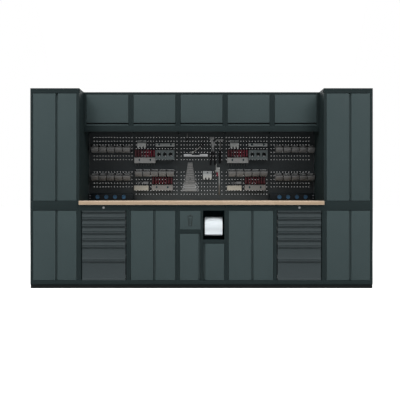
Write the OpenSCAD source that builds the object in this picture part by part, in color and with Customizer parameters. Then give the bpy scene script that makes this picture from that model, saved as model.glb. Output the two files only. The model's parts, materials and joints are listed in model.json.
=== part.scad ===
// Garage tool cabinet: two tall cases at the ends, five base modules under one worktop between them,
// a row of overhead cases and perforated panels with tools. Millimetres, front towards -Y, +Z up.

/* [Overall] */
// Width of one module
module_w = 500; // [485:1:560]
// Depth of the floor cases, from the fronts to the wall
case_d = 500; // [450:1:560]
// Height over the tall cases and the overhead row
total_h = 2046; // [2030:1:2120]
// How far the worktop stands out past the fronts
worktop_nose = 25; // [10:1:40]

/* [Heights] */
// Height of the plinth
plinth_h = 42; // [30:1:60]
// Height of the rail under the lower doors
bottom_rail_h = 40; // [30:1:60]
// Height of the lower doors' opening
lower_h = 714; // [690:1:730]
// Height of the rail under the worktop
header_h = 59; // [50:1:75]
// Thickness of the worktop
worktop_t = 40; // [30:1:50]
// Height of the rail between a tall case's doors
mid_rail_h = 98; // [80:1:120]
// Height of the rail over the tall doors
top_rail_h = 22; // [18:1:30]
// Height of the cap over a tall case
cap_h = 29; // [20:1:40]

/* [Sheet and frame] */
// Thickness of the folded sheet
sheet_t = 1.2; // [1:0.1:1.6]
// Wall of the posts and rails
tube_wall = 1.5; // [1.2:0.1:2.5]
// Width of a front post
post_w = 25; // [22:1:30]
// Width of the right-hand post of a cupboard or the service module
slim_post_w = 16; // [14:1:20]
// Depth of the posts and rails
rail_d = 25; // [22:1:32]
// Gap along a weld or seam
weld_gap = 0.2; // [0.1:0.05:0.3]
// Play between neighbouring modules, on each side
side_play = 0.3; // [0.1:0.1:0.4]
// Setback of the plinth from the fronts
plinth_setback = 10; // [0:1:40]
// Width of a plinth tube
plinth_tube_w = 40; // [30:1:60]

/* [Doors] */
// Thickness of a door or drawer front
door_t = 18; // [17:0.5:20]
// Gap around a door or drawer front
door_gap = 3; // [2.8:0.1:4]
// Width of the left leaf of a pair
left_leaf_w = 228; // [210:1:240]
// Width of the grip channel along a leaf
grip_w = 22; // [16:1:28]
// Width of the return lip at a leaf's back
return_w = 14; // [8:1:18]
// Radius of a hinge pin
pin_r = 3; // [2.5:0.1:3.5]
// Radial clearance of a hinge pin
pin_clear = 0.06; // [0.02:0.01:0.1]
// Distance from a hinge pin to the leaf's edge
pin_inset = 8; // [7:0.5:9]
// Distance from a hinge pin to the leaf's front
pin_setback = 6; // [5.5:0.5:7]
// Depth of a hinge pin in its bore
pin_depth = 12; // [8:1:16]
// Radius of the collar on a hinge pin
collar_r = 5; // [4:0.5:5.5]

/* [Drawers] */
// Height taken by a shallow drawer
shallow_pitch = 72; // [68:1:76]
// Height taken by the medium drawer
medium_pitch = 146; // [130:1:160]
// Width of the post that shows beside the drawers
reveal_post_w = 17; // [15:1:19]
// Setback of the runner posts behind the reveal posts
reveal_d = 20; // [19:1:26]
// Height of the grip lip along a drawer's top
lip_h = 13; // [10:1:16]
// Height of the finger groove under the lip
groove_h = 15; // [12:1:18]
// Depth of the finger groove
groove_d = 15; // [13:0.5:16]
// Height of the slope between the groove and the face
slope_h = 6; // [4:1:8]
// Height of the bright bevel at a drawer's foot
bevel_h = 15; // [12:1:18]
// Setback of a drawer's face behind its foot
bevel_d = 10; // [8:0.5:12]
// Height of the straight edge under the bevel
foot_h = 10; // [8:0.5:12]
// Height of a runner
runner_h = 32; // [28:1:34]
// Thickness of a runner
runner_t = 10; // [9:0.5:12]
// Play inside a runner
runner_play = 0.4; // [0.3:0.1:0.6]
// Stand-off of a tray from its runner
tray_off = 3; // [2:0.5:4]
// Clear space between a tray and the case's back
tray_back = 24; // [18:1:40]
// Radius of a lock's collar
lock_r = 11.5; // [10:0.5:13]
// Radius of a lock's barrel
barrel_r = 8.5; // [7:0.5:9.5]

/* [Service module] */
// Width of the waste bay
waste_bay_w = 217; // [200:1:225]
// Width of the post between the two bays
divider_w = 23; // [20:1:28]
// Height of the waste flap's opening
waste_flap_h = 197; // [180:1:210]
// Height of the paper niche
niche_h = 299; // [285:1:310]
// Depth of the paper niche
niche_d = 250; // [235:1:300]
// Height of the rails across the bays
bay_rail_h = 38; // [30:1:44]
// Thickness of the waste flap
waste_flap_t = 12; // [11.5:0.5:13]
// Radius of the paper roll
roll_r = 98; // [85:1:104]
// Space on each side of the paper roll
roll_side = 18.5; // [12:0.1:24]
// Radius of the roll's spindle
spindle_r = 18; // [14:1:20]
// Setback of the spindle from the fronts
spindle_y = 110; // [108:1:120]
// Height of the spindle over the niche's floor
spindle_z = 132; // [120:1:145]
// Height of the waste bin
waste_bin_h = 420; // [360:5:440]
// Depth of the waste bin
waste_bin_d = 330; // [260:5:360]
// Wall of the waste bin
waste_bin_wall = 2.5; // [2:0.5:4]
// Space between the front rail and the waste bin
waste_bin_setback = 15; // [10:1:30]

/* [Overhead row] */
// Height of the overhead row with its pelmet
overhead_h = 418; // [390:1:440]
// Depth of the overhead row
overhead_d = 293; // [260:1:320]
// Height of the pelmet rail
pelmet_h = 60; // [45:1:75]
// Height of the rail over the flaps
flap_rail_h = 22; // [18:1:28]
// Height of the grip lip along a flap's foot
flap_lip_h = 13; // [11:1:18]
// Height of the groove over that lip
flap_groove_h = 18; // [12:1:24]

/* [Perforated panels] */
// Distance from the wall to a panel's face
panel_off = 30; // [26:1:40]
// Thickness of a panel
panel_t = 1.5; // [1.2:0.1:2]
// Width of a square hole
hole_w = 5; // [4:0.5:10]
// Distance between hole columns
hole_pitch_x = 32.3; // [30:0.1:33]
// Distance between hole rows
hole_pitch_z = 41; // [38:0.5:42]
// Height of the lowest hole row over the worktop
low_rows_z = 68; // [60:1:74]
// Height of the upper field's lowest row over the worktop
high_rows_z = 452; // [440:1:460]
// Height of the rails behind the panels
panel_rail_h = 26; // [20:1:28]
// Height that the tools need: on a lower panel they hang closer and smaller
tool_room = 733; // [700:1:740]

/* [Power strips] */
// Height of a power strip
strip_h = 77; // [66:1:80]
// Depth of a power strip
strip_d = 60; // [50:1:70]
// Gap between a strip's ends and its module
strip_end = 6; // [3:1:12]
// Radius of a socket
socket_r = 24; // [20:0.5:26]
// Distance between sockets
socket_pitch = 96; // [80:1:100]
// Depth of a socket's well
socket_d = 14; // [10:1:18]

/* [Storage bins] */
// Width of a bin
bin_w = 85; // [78:1:86]
// Depth of a bin
bin_d = 92; // [84:1:100]
// Height of a bin's back
bin_h = 80; // [74:1:84]
// Height of a bin's mouth
bin_mouth_h = 53; // [46:1:60]
// Size of the slope at a bin's toe
bin_toe = 24; // [16:1:30]
// Distance between bins
bin_pitch = 87; // [86.5:0.1:87.5]
// Wall of a bin
bin_wall = 2; // [1.5:0.1:2.5]
// Height of the rail behind a row of bins
bin_rail_h = 16; // [10:1:24]
// Thickness of the rail behind a row of bins
bin_rail_t = 3; // [2:0.5:5]
// Height of the upper bin rows over the worktop
bins_high_z = 527; // [517:1:537]
// Height of the lower bin rows over the worktop
bins_low_z = 218; // [210:1:226]
// Height of the middle bin rows over the worktop
bins_mid_z = 264; // [262:1:268]
// Place of the middle bin rows, from the middle of their tool set
bins_mid_x = -18; // [-22:1:0]

/* [Tool sets over the cupboards] */
// Extra shift of the bins and tools right of the middle
right_set_shift = 28; // [20:1:29]
// Width of a driver rack
rack_w = 232; // [220:1:234]
// Height of a driver rack
rack_h = 62; // [56:1:64]
// Depth of a driver rack
rack_d = 36; // [32:1:44]
// Thickness of a rack's sheet
rack_t = 2; // [1.5:0.1:2.5]
// Height of the slot over a rack's front plate
rack_slot = 4; // [3:0.5:8]
// Place of the upper driver racks in their set
rack_high_x = -127; // [-128:1:-126]
// Height of the upper driver racks over the worktop
rack_high_z = 413; // [406:1:416]
// Place of the lower driver racks in their set
rack_low_x = 65; // [58:1:72]
// Height of the lower driver racks over the worktop
rack_low_z = 111; // [106:1:113]
// Length of a driver's handle
handle_l = 86; // [80:1:88]
// Radius of a driver's handle
handle_r = 10; // [8:0.5:12]
// Radius of a driver's blade
blade_r = 3; // [2:0.5:4]
// Length of a driver's blade under its handle
blade_l = 96; // [70:1:98]
// Radial clearance of a blade or key in its hole
blade_clear = 0.4; // [0.2:0.1:0.8]
// Width of the notched rail and the can holder
holder_w = 209; // [190:1:212]
// Place of the notched rail and the can holder in their set
holder_x = 96; // [96:1:100]
// Height of the notched rail over the worktop
notched_rail_z = 597; // [588:1:604]
// Height of the can holder over the worktop
can_holder_z = 448; // [442:1:456]
// Height of the can holder
can_holder_h = 106; // [96:1:112]
// Width of a prong holder
prong_holder_w = 96; // [80:1:104]
// Place of the prong holder in its set
prong_holder_x = -163; // [-168:1:-156]
// Height of the prong holder over the worktop
prong_holder_z = 574; // [568:1:584]
// Width of the key block
key_block_w = 158; // [140:1:164]
// Depth of the key block
key_block_d = 40; // [30:1:48]
// Height of the key block
key_block_h = 52; // [46:1:58]
// Place of the key block in its set
key_block_x = -166; // [-168:1:-160]

/* [Tools on the middle panel] */
// Place of the spanner tower
tower_x = -127; // [-135:1:-120]
// Height of the spanner tower's foot over the worktop
tower_z = 101; // [96:1:108]
// Width of the tower's plate at its top
tower_top_w = 50; // [40:1:58]
// Width of the tower's plate at its foot
tower_foot_w = 132; // [110:1:140]
// Distance between spanners
spanner_step = 26.5; // [26:0.5:27]
// Length of the longest spanner
spanner_long = 197; // [180:1:210]
// Length of the shortest spanner
spanner_short = 50; // [46:1:56]
// Thickness of a spanner
spanner_t = 5; // [4:0.5:6]
// Place of the middle prong holder
mid_prong_x = 64; // [58:1:70]
// Height of the middle prong holder over the worktop
mid_prong_z = 230; // [220:1:240]
// Place of the pliers
plier_x = 125; // [118:1:130]
// Height of the pliers' pivot over the worktop
plier_z = 600; // [590:1:606]
// Place of the snips
snip_x = -160; // [-170:1:-150]
// Height of the snips' pivot over the worktop
snip_z = 712; // [704:1:716]
// Size of the snips beside the pliers
snip_scale = 0.36; // [0.3:0.02:0.4]
// Place of the hammer
hammer_x = 204; // [200:1:208]
// Height of the hammer's foot over the worktop
hammer_z = 410; // [404:1:418]
// Length of the hammer
hammer_l = 266; // [250:1:280]
// Length of the hammer's grip
hammer_grip_l = 140; // [110:1:160]
// Radius of the hammer's grip
hammer_grip_r = 13; // [12:0.5:14]
// Place of the caliper
caliper_x = 196; // [190:1:200]
// Height of the caliper's foot over the worktop
caliper_z = 60; // [54:1:66]
// Length of the caliper
caliper_l = 304; // [290:1:320]
// Height of the caliper's slide on its beam
caliper_mark_z = 208; // [190:1:220]
// Place of the bench rule's left end
rule_x = -197; // [-205:1:-190]
// Height of the bench rule over the worktop
rule_z = 486; // [482:1:490]
// Length of the bench rule
rule_l = 266; // [240:1:270]
// Height of the bench rule
rule_h = 27; // [24:1:32]
// Thickness of the bench rule
rule_t = 14; // [8:1:18]
// Place of the ratchet's head
ratchet_x = -100; // [-110:1:-90]
// Height of the ratchet's head over the worktop
ratchet_z = 532; // [530:1:540]
// Length of the ratchet's shank
ratchet_l = 112; // [100:1:120]
// Length of the ratchet's grip
ratchet_grip_l = 46; // [40:1:60]
// Radius of the ratchet's grip
ratchet_r = 9; // [8:0.5:10]
// Slant of the ratchet
ratchet_tilt = 36; // [30:1:50]

/* [Hidden] */
$fn = 48;

modules = 7;
door_paint = [0.27, 0.31, 0.31];
drawer_paint = [0.25, 0.27, 0.28];
frame_paint = [0.16, 0.2, 0.2];
black_paint = [0.1, 0.11, 0.12];
wood = [0.78, 0.68, 0.54];
steel = [0.72, 0.74, 0.76];
light_grey = [0.58, 0.62, 0.63];
bin_grey = [0.38, 0.42, 0.44];
red = [0.38, 0.04, 0.09];
blue = [0.18, 0.28, 0.4];
paper = [0.93, 0.95, 0.97];
cream = [0.62, 0.6, 0.5];

// Heights from the floor
z_floor = plinth_h + bottom_rail_h;
z_head = z_floor + lower_h;
z_base_top = z_head + header_h;
z_work = z_base_top + worktop_t;
z_upper = z_head + mid_rail_h;
z_cap = total_h - cap_h;
z_upper_top = z_cap - top_rail_h;
z_pelmet = total_h - overhead_h;
z_overhead = z_pelmet + pelmet_h;
z_flap_top = total_h - flap_rail_h;

// Places from front to back
y_back = (case_d + worktop_nose) / 2;
y_face = y_back - case_d;
y_over = y_back - overhead_d;
y_panel = y_back - panel_off;

// Widths inside a case
case_w = module_w - 2 * side_play;
bay_w = case_w - 2 * post_w;
divider_x = post_w + waste_bay_w;
roll_bay_x = divider_x + divider_w;
roll_bay_w = case_w - slim_post_w - roll_bay_x;
roll_w = roll_bay_w - 2 * roll_side;
skin_in = sheet_t + 2 * weld_gap;
bore_r = pin_r + pin_clear;
block_wall = 2;
seat_gap = 0.3;
cut = 1;

// Wall-fixing holes and locks
wall_rail_h = 40;
wall_hole_r = 4.5;
wall_hole_pitch = 400;
spanner_count = 12;
tall_wall_z = z_cap - weld_gap - sheet_t - wall_rail_h / 2;
over_wall_z = total_h - sheet_t - weld_gap - wall_rail_h / 2;
lock_z = z_head + header_h / 2;

function case_x(i) = (i - modules / 2) * module_w + side_play;
function module_mid(i) = (i + 0.5 - modules / 2) * module_w;

function right_post_w(i) = i >= 2 && i <= 4 ? slim_post_w : post_w;
function right_leaf_w(i) = case_w - post_w - right_post_w(i) - left_leaf_w - 3 * door_gap;

// A leaf is [x, z, width, height, hinge side, grip side]
function left_leaf(i, z, h) = [case_x(i) + post_w + door_gap, z, left_leaf_w, h, "left", "none"];
function right_leaf(i, z, h) =
    [case_x(i) + post_w + left_leaf_w + 2 * door_gap, z, right_leaf_w(i), h, "right", "left"];
function pair_leaf(i, z, h, side) = side == "left" ? left_leaf(i, z, h) : right_leaf(i, z, h);
function leaf_pin_x(p) = p[4] == "left" ? p[0] + pin_inset : p[0] + p[2] - pin_inset;

z_leaf = z_floor + door_gap;
lower_leaf_h = lower_h - 2 * door_gap;
z_upper_leaf = z_upper + door_gap;
upper_leaf_h = z_upper_top - z_upper - 2 * door_gap;
service_x = case_x(3);
z_waste_rail = z_head - waste_flap_h - bay_rail_h;
z_roll_rail = z_head - niche_h - bay_rail_h;
z_niche = z_roll_rail + bay_rail_h;
waste_leaf = [service_x + post_w + door_gap, z_leaf, waste_bay_w - 2 * door_gap,
    z_waste_rail - z_floor - 2 * door_gap, "left", "right"];
roll_leaf = [service_x + roll_bay_x + door_gap, z_leaf, roll_bay_w - 2 * door_gap,
    z_roll_rail - z_floor - 2 * door_gap, "right", "left"];

SIDES = ["left", "right"];
TALLS = [["tall_left", 0], ["tall_right", 6]];
CUPBOARDS = [["cupboard_left", 2], ["cupboard_right", 4]];
STACKS = [["drawer_left", 1, "left"], ["drawer_right", 5, "right"]];
TALL_LEVELS = [["upper", z_upper_leaf, upper_leaf_h], ["lower", z_leaf, lower_leaf_h]];
DOORS = concat(
    [for (t = TALLS) for (v = TALL_LEVELS) for (s = SIDES)
        [str(t[0], "_", v[0], "_door_", s), pair_leaf(t[1], v[1], v[2], s)]],
    [for (c = CUPBOARDS) for (s = SIDES)
        [str(c[0], "_door_", s), pair_leaf(c[1], z_leaf, lower_leaf_h, s)]],
    [["waste_door", waste_leaf], ["roll_door", roll_leaf]]);

// Drawers from the top down: five shallow, one medium and a deep one that takes what is left
shallow_count = 5;
drawer_count = shallow_count + 2;
deep_pitch = lower_h - shallow_count * shallow_pitch - medium_pitch;
function drawer_pitch(k) = k < shallow_count ? shallow_pitch : k == shallow_count ? medium_pitch : deep_pitch;
function drawer_drop(k) = k < 0 ? 0 : drawer_drop(k - 1) + drawer_pitch(k);
function drawer_z(k) = z_head - drawer_drop(k) + door_gap / 2;
function drawer_front_h(k) = drawer_pitch(k) - door_gap;
drawer_front_w = bay_w - 2 * door_gap;
tray_x = post_w + weld_gap + runner_t + tray_off;
tray_w = case_w - 2 * tray_x;
tray_d = case_d - door_t - weld_gap - tray_back;
tray_rise = 6;
runner_rise = 28;
runner_end = 6;

// Overhead flaps
flap_x = post_w + door_gap;
flap_w = bay_w - 2 * door_gap;
z_flap = z_overhead + door_gap;
flap_h = z_flap_top - z_overhead - 2 * door_gap;
flap_pin_z = z_flap_top - door_gap - pin_inset;
waste_pin_z = z_head - door_gap - pin_inset;

// Basic shapes

module tube_x(l, d, h) {
    difference() {
        cube([l, d, h]);
        translate([-cut, tube_wall, tube_wall]) cube([l + 2 * cut, d - 2 * tube_wall, h - 2 * tube_wall]);
    }
}

module tube_y(w, l, h) {
    difference() {
        cube([w, l, h]);
        translate([tube_wall, -cut, tube_wall]) cube([w - 2 * tube_wall, l + 2 * cut, h - 2 * tube_wall]);
    }
}

module tube_z(w, d, l) {
    difference() {
        cube([w, d, l]);
        translate([tube_wall, tube_wall, -cut]) cube([w - 2 * tube_wall, d - 2 * tube_wall, l + 2 * cut]);
    }
}

// Extrudes an outline drawn as [y, z] along +X
module along_x(l) {
    rotate([90, 0, 90]) linear_extrude(l) children();
}

// Extrudes an outline drawn as [x, z] along +Y
module along_y(l) {
    translate([0, l, 0]) rotate([90, 0, 0]) linear_extrude(l) children();
}

// A cylinder along +Y
module rod_y(r, l) {
    rotate([-90, 0, 0]) cylinder(r = r, h = l);
}

// A cylinder along +X
module rod_x(r, l) {
    rotate([0, 90, 0]) cylinder(r = r, h = l);
}

function unit(v) = v / norm(v);
function side_of(a, b) = let (d = unit(b - a)) [-d[1], d[0]];
function mitre(p, i, t) =
    let (n0 = i > 0 ? side_of(p[i - 1], p[i]) : side_of(p[0], p[1]),
        n1 = i < len(p) - 1 ? side_of(p[i], p[i + 1]) : n0)
    p[i] + t * (n0 + n1) / (1 + n0 * n1);

// A path thickened to one side, as folded sheet
function folded(p, t) = concat(p, [for (i = [len(p) - 1:-1:0]) mitre(p, i, t)]);

// Hinge pins

// A pin with its collar across a door gap that starts at z = 0
module gap_pin() {
    translate([0, 0, -pin_depth]) cylinder(r = pin_r, h = door_gap + 2 * pin_depth);
    translate([0, 0, weld_gap]) cylinder(r = collar_r, h = door_gap - 2 * weld_gap);
}

module gap_bore() {
    translate([0, 0, -pin_depth - cut]) cylinder(r = bore_r, h = door_gap + 2 * (pin_depth + cut));
}

// Places its children at both ends of a leaf's hinge edge
module at_leaf_pins(p) {
    for (z = [p[1] - door_gap, p[1] + p[3]]) translate([leaf_pin_x(p), y_face + pin_setback, z]) children();
}

// Places its children across the gaps at both ends of a flap's top edge
module at_flap_pins(x, y, z, w) {
    for (e = [x - door_gap, x + w]) translate([e, y, z]) rotate([0, 90, 0]) children();
}

module at_all_flap_pins() {
    for (i = [1:5]) at_flap_pins(case_x(i) + flap_x, y_over + pin_setback, flap_pin_z, flap_w) children();
    at_flap_pins(waste_leaf[0], y_face + pin_setback, waste_pin_z, waste_leaf[2]) children();
}

module hinge_pins() {
    color(steel) {
        for (d = DOORS) at_leaf_pins(d[1]) gap_pin();
        at_all_flap_pins() gap_pin();
    }
}

// Doors and flaps

// A folded pan with return lips, open at the back
module pan(w, t, h) {
    difference() {
        cube([w, t, h]);
        translate([sheet_t, sheet_t, sheet_t]) cube([w - 2 * sheet_t, t - 2 * sheet_t, h - 2 * sheet_t]);
        translate([return_w, sheet_t, return_w]) cube([w - 2 * return_w, t, h - 2 * return_w]);
    }
}

// The blocks inside a flap's top corners that take its hinge pins
module flap_blocks(x, y, top, w) {
    block_w = pin_depth + pin_r;
    block_h = pin_inset + return_w - pin_r;
    for (e = [0, w - block_w]) translate([x + e, y, top - block_h])
        cube([block_w, pin_setback + pin_r + block_wall, block_h]);
}

module leaf(p) {
    grip = p[5] == "none" ? 0 : grip_w;
    pan_w = p[2] - grip;
    pan_x = p[5] == "left" ? grip : 0;
    block_w = pin_inset + return_w - pin_r;
    block_t = pin_setback + pin_r + block_wall;
    block_h = pin_depth + pin_r;
    block_x = p[4] == "left" ? pan_x : pan_x + pan_w - block_w;
    plate_x = p[5] == "left" ? 0 : p[2] - grip + weld_gap;
    color(door_paint) {
        difference() {
            translate([p[0], y_face, p[1]]) {
                translate([pan_x, 0, 0]) pan(pan_w, door_t, p[3]);
                for (z = [0, p[3] - block_h]) translate([block_x, 0, z])
                    cube([block_w, block_t, block_h]);
            }
            at_leaf_pins(p) gap_bore();
        }
        if (grip > 0) translate([p[0] + plate_x, y_face + door_t - sheet_t, p[1]])
            cube([grip - weld_gap, sheet_t, p[3]]);
    }
}

module overhead_flap(i) {
    x = case_x(i) + flap_x;
    pan_z = z_flap + flap_lip_h + flap_groove_h;
    pan_h = flap_h - flap_lip_h - flap_groove_h;
    color(door_paint) {
        difference() {
            union() {
                translate([x, y_over, pan_z]) pan(flap_w, door_t, pan_h);
                flap_blocks(x, y_over, pan_z + pan_h, flap_w);
            }
            at_flap_pins(x, y_over + pin_setback, flap_pin_z, flap_w) gap_bore();
        }
        translate([x, y_over + door_t - sheet_t, z_flap + flap_lip_h + weld_gap])
            cube([flap_w, sheet_t, flap_groove_h - 2 * weld_gap]);
        translate([x, y_over, z_flap]) tube_x(flap_w, door_t, flap_lip_h);
    }
}

module waste_flap() {
    x = waste_leaf[0];
    w = waste_leaf[2];
    h = waste_flap_h - 2 * door_gap;
    z = z_head - waste_flap_h + door_gap;
    color(door_paint) difference() {
        union() {
            translate([x, y_face, z]) pan(w, waste_flap_t, h);
            flap_blocks(x, y_face, z + h, w);
        }
        at_flap_pins(x, y_face + pin_setback, waste_pin_z, w) gap_bore();
    }
}

// Drawers

function drawer_face_path(h) = [
    [door_t, 0], [0, 0], [0, foot_h], [bevel_d, foot_h + bevel_h],
    [bevel_d, h - lip_h - groove_h - slope_h], [groove_d, h - lip_h - groove_h],
    [door_t, h - lip_h - groove_h]];

function drawer_end_outline(h) = concat(
    [for (i = [0:5]) drawer_face_path(h)[i]],
    [[groove_d, h - lip_h], [0, h - lip_h], [0, h], [door_t, h]]);

module drawer_front(h) {
    end = sheet_t + weld_gap;
    inner_w = drawer_front_w - 2 * end;
    translate([end, 0, 0]) {
        along_x(inner_w) polygon(folded(drawer_face_path(h), -sheet_t));
        translate([0, groove_d, h - lip_h - groove_h + weld_gap])
            cube([inner_w, sheet_t, groove_h - 2 * weld_gap]);
        translate([0, 0, h - lip_h]) tube_x(inner_w, door_t, lip_h);
    }
    for (x = [0, drawer_front_w - sheet_t]) translate([x, 0, 0])
        along_x(sheet_t) polygon(drawer_end_outline(h));
}

module drawer_tray(h) {
    wall_z = sheet_t + weld_gap;
    wall_h = h - wall_z;
    side_d = tray_d - 2 * (sheet_t + weld_gap);
    cube([tray_w, tray_d, sheet_t]);
    for (y = [0, tray_d - sheet_t]) translate([0, y, wall_z]) cube([tray_w, sheet_t, wall_h]);
    for (x = [0, tray_w - sheet_t]) translate([x, sheet_t + weld_gap, wall_z])
        cube([sheet_t, side_d, wall_h]);
}

// The runner's fixed channel, its web at x = 0 and its mouth towards +X
function channel_path() = let (lip = 4, top = runner_h / 2) [
    [runner_t, lip - top], [runner_t, -top], [0, -top], [0, top], [runner_t, top], [runner_t, top - lip]];

module runner_channel(l) {
    along_y(l) polygon(folded(channel_path(), -sheet_t));
}

// The moving member: a bar inside the channel with a neck out to the tray
module runner_member(l) {
    bar_x = sheet_t + runner_play;
    neck_x = runner_t - sheet_t - runner_play;
    bar_h = runner_h / 2 - sheet_t - runner_play;
    neck_h = bar_h - 4;
    end_x = runner_t + tray_off - weld_gap;
    along_y(l) polygon([[bar_x, -bar_h], [neck_x, -bar_h], [neck_x, -neck_h], [end_x, -neck_h],
        [end_x, neck_h], [neck_x, neck_h], [neck_x, bar_h], [bar_x, bar_h]]);
}

// Places a left-hand runner piece and its mirror image in a case
module both_runners(i, y, z) {
    translate([case_x(i) + post_w + weld_gap, y, z]) children();
    translate([case_x(i) + case_w - post_w - weld_gap, y, z]) mirror([1, 0, 0]) children();
}

function runner_z(k) = drawer_z(k) + runner_rise;

module drawer(i, k) {
    h = drawer_front_h(k);
    y_tray = y_face + door_t + weld_gap;
    color(drawer_paint) {
        translate([case_x(i) + post_w + door_gap, y_face, drawer_z(k)]) drawer_front(h);
        translate([case_x(i) + tray_x, y_tray, drawer_z(k) + tray_rise])
            drawer_tray(h - lip_h - 2 * tray_rise);
        both_runners(i, y_tray + runner_end, runner_z(k)) runner_member(tray_d - 2 * runner_end);
    }
}

module drawer_runners() {
    y = y_face + door_t + runner_end;
    color(steel) for (s = STACKS) for (k = [0:drawer_count - 1])
        both_runners(s[1], y, runner_z(k)) runner_channel(y_back - sheet_t - weld_gap - y);
}

module lock(i) {
    collar_t = 3;
    cam_t = 3;
    cam_w = 9;
    cam_l = barrel_r + 13;
    barrel_l = rail_d - tube_wall - cam_t;
    slot = [2, 1.5, 9];
    color(steel) translate([module_mid(i), y_face - weld_gap, lock_z]) difference() {
        union() {
            translate([0, -collar_t, 0]) rod_y(lock_r, collar_t);
            rod_y(barrel_r, barrel_l);
            translate([-cam_w / 2, barrel_l - cam_t, -cam_l]) cube([cam_w, cam_t, cam_l]);
        }
        translate([-slot[0] / 2, -collar_t - cut, -slot[2] / 2]) cube([slot[0], slot[1] + cut, slot[2]]);
    }
}

// Cases

module post(x, y, z, w, h) {
    translate([x, y, z + weld_gap]) tube_z(w, rail_d, h - 2 * weld_gap);
}

// A front rail across a case, with the bores of the leaves that hang on it
module rail(i, z, h, leaves) {
    difference() {
        translate([case_x(i), y_face, z]) tube_x(case_w, rail_d, h);
        for (p = leaves) at_leaf_pins(p) gap_bore();
        children();
    }
}

// A horizontal sheet inside a case, its top at z
module deck(i, z) {
    translate([case_x(i) + skin_in, y_face + rail_d + weld_gap, z - sheet_t])
        cube([case_w - 2 * skin_in, case_d - rail_d - sheet_t - 2 * weld_gap, sheet_t]);
}

// Side skins and back of a case, from the plinth up
module skins(i, top) {
    skin_d = case_d - rail_d - sheet_t - 2 * weld_gap;
    for (x = [weld_gap, case_w - sheet_t - weld_gap])
        translate([case_x(i) + x, y_face + rail_d + weld_gap, plinth_h])
            cube([sheet_t, skin_d, top - plinth_h]);
    difference() {
        translate([case_x(i), y_back - sheet_t, plinth_h]) cube([case_w, sheet_t, top - plinth_h]);
        children();
    }
}

// The rail along the wall inside a case, with what its children cut
module back_rail(i, z, h) {
    difference() {
        translate([case_x(i) + skin_in, y_back - sheet_t - weld_gap - rail_d, z])
            tube_x(case_w - 2 * skin_in, rail_d, h);
        children();
    }
}

// Two holes for wall bolts, through the back rail and the back sheet
module wall_holes(i, z) {
    hole_l = rail_d + sheet_t + weld_gap + 2 * cut;
    for (s = [-1, 1]) translate([module_mid(i) + s * wall_hole_pitch / 2, y_back + cut - hole_l, z])
        rod_y(wall_hole_r, hole_l);
}

module base_case(i, leaves) {
    rail(i, plinth_h, bottom_rail_h, leaves);
    rail(i, z_head, header_h, leaves) children();
    skins(i, z_base_top);
    deck(i, z_floor);
    back_rail(i, z_base_top - rail_d, rail_d);
}

module case_posts(i, z, h) {
    post(case_x(i), y_face, z, post_w, h);
    post(case_x(i) + case_w - right_post_w(i), y_face, z, right_post_w(i), h);
}

module cupboard_case(i) {
    color(frame_paint) {
        base_case(i, [for (s = SIDES) pair_leaf(i, z_leaf, lower_leaf_h, s)]);
        case_posts(i, z_floor, lower_h);
    }
}

module drawer_case(i) {
    runner_post_w = post_w - reveal_post_w - weld_gap;
    post_h = lower_h - 2 * weld_gap;
    color(frame_paint) {
        base_case(i, []) translate([module_mid(i), y_face - cut, lock_z])
            rod_y(barrel_r + pin_clear, tube_wall + 2 * cut);
        for (m = [0, 1]) translate([case_x(i) + m * case_w, y_face, z_floor + weld_gap]) mirror([m, 0, 0]) {
            tube_z(reveal_post_w, rail_d, post_h);
            translate([reveal_post_w + weld_gap, reveal_d, 0]) tube_z(runner_post_w, rail_d, post_h);
            translate([skin_in, case_d - sheet_t - weld_gap - rail_d, 0])
                tube_z(post_w - skin_in, rail_d, post_h);
        }
    }
}

module tall_case(i) {
    lower = [for (s = SIDES) pair_leaf(i, z_leaf, lower_leaf_h, s)];
    upper = [for (s = SIDES) pair_leaf(i, z_upper_leaf, upper_leaf_h, s)];
    color(frame_paint) {
        rail(i, plinth_h, bottom_rail_h, lower);
        rail(i, z_head, mid_rail_h, concat(lower, upper));
        rail(i, z_upper_top, top_rail_h - weld_gap, upper);
        case_posts(i, z_floor, lower_h);
        case_posts(i, z_upper, z_upper_top - z_upper);
        skins(i, z_cap - weld_gap) wall_holes(i, tall_wall_z);
        deck(i, z_floor);
        deck(i, z_head + sheet_t);
        deck(i, z_upper);
        back_rail(i, tall_wall_z - wall_rail_h / 2, wall_rail_h) wall_holes(i, tall_wall_z);
        tall_cap(i);
    }
}

// The cap: a top sheet with a deep front edge and strips along the sides and back
module tall_cap(i) {
    edge_h = cap_h - sheet_t - weld_gap;
    strip_l = case_d - rail_d - weld_gap;
    translate([case_x(i), y_face, total_h - sheet_t]) cube([case_w, case_d, sheet_t]);
    translate([case_x(i), y_face, z_cap]) tube_x(case_w, rail_d, edge_h);
    for (x = [0, case_w - sheet_t]) translate([case_x(i) + x, y_face + rail_d + weld_gap, z_cap])
        cube([sheet_t, strip_l, edge_h]);
    translate([case_x(i) + skin_in, y_back - sheet_t, z_cap]) cube([case_w - 2 * skin_in, sheet_t, edge_h]);
}

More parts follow.
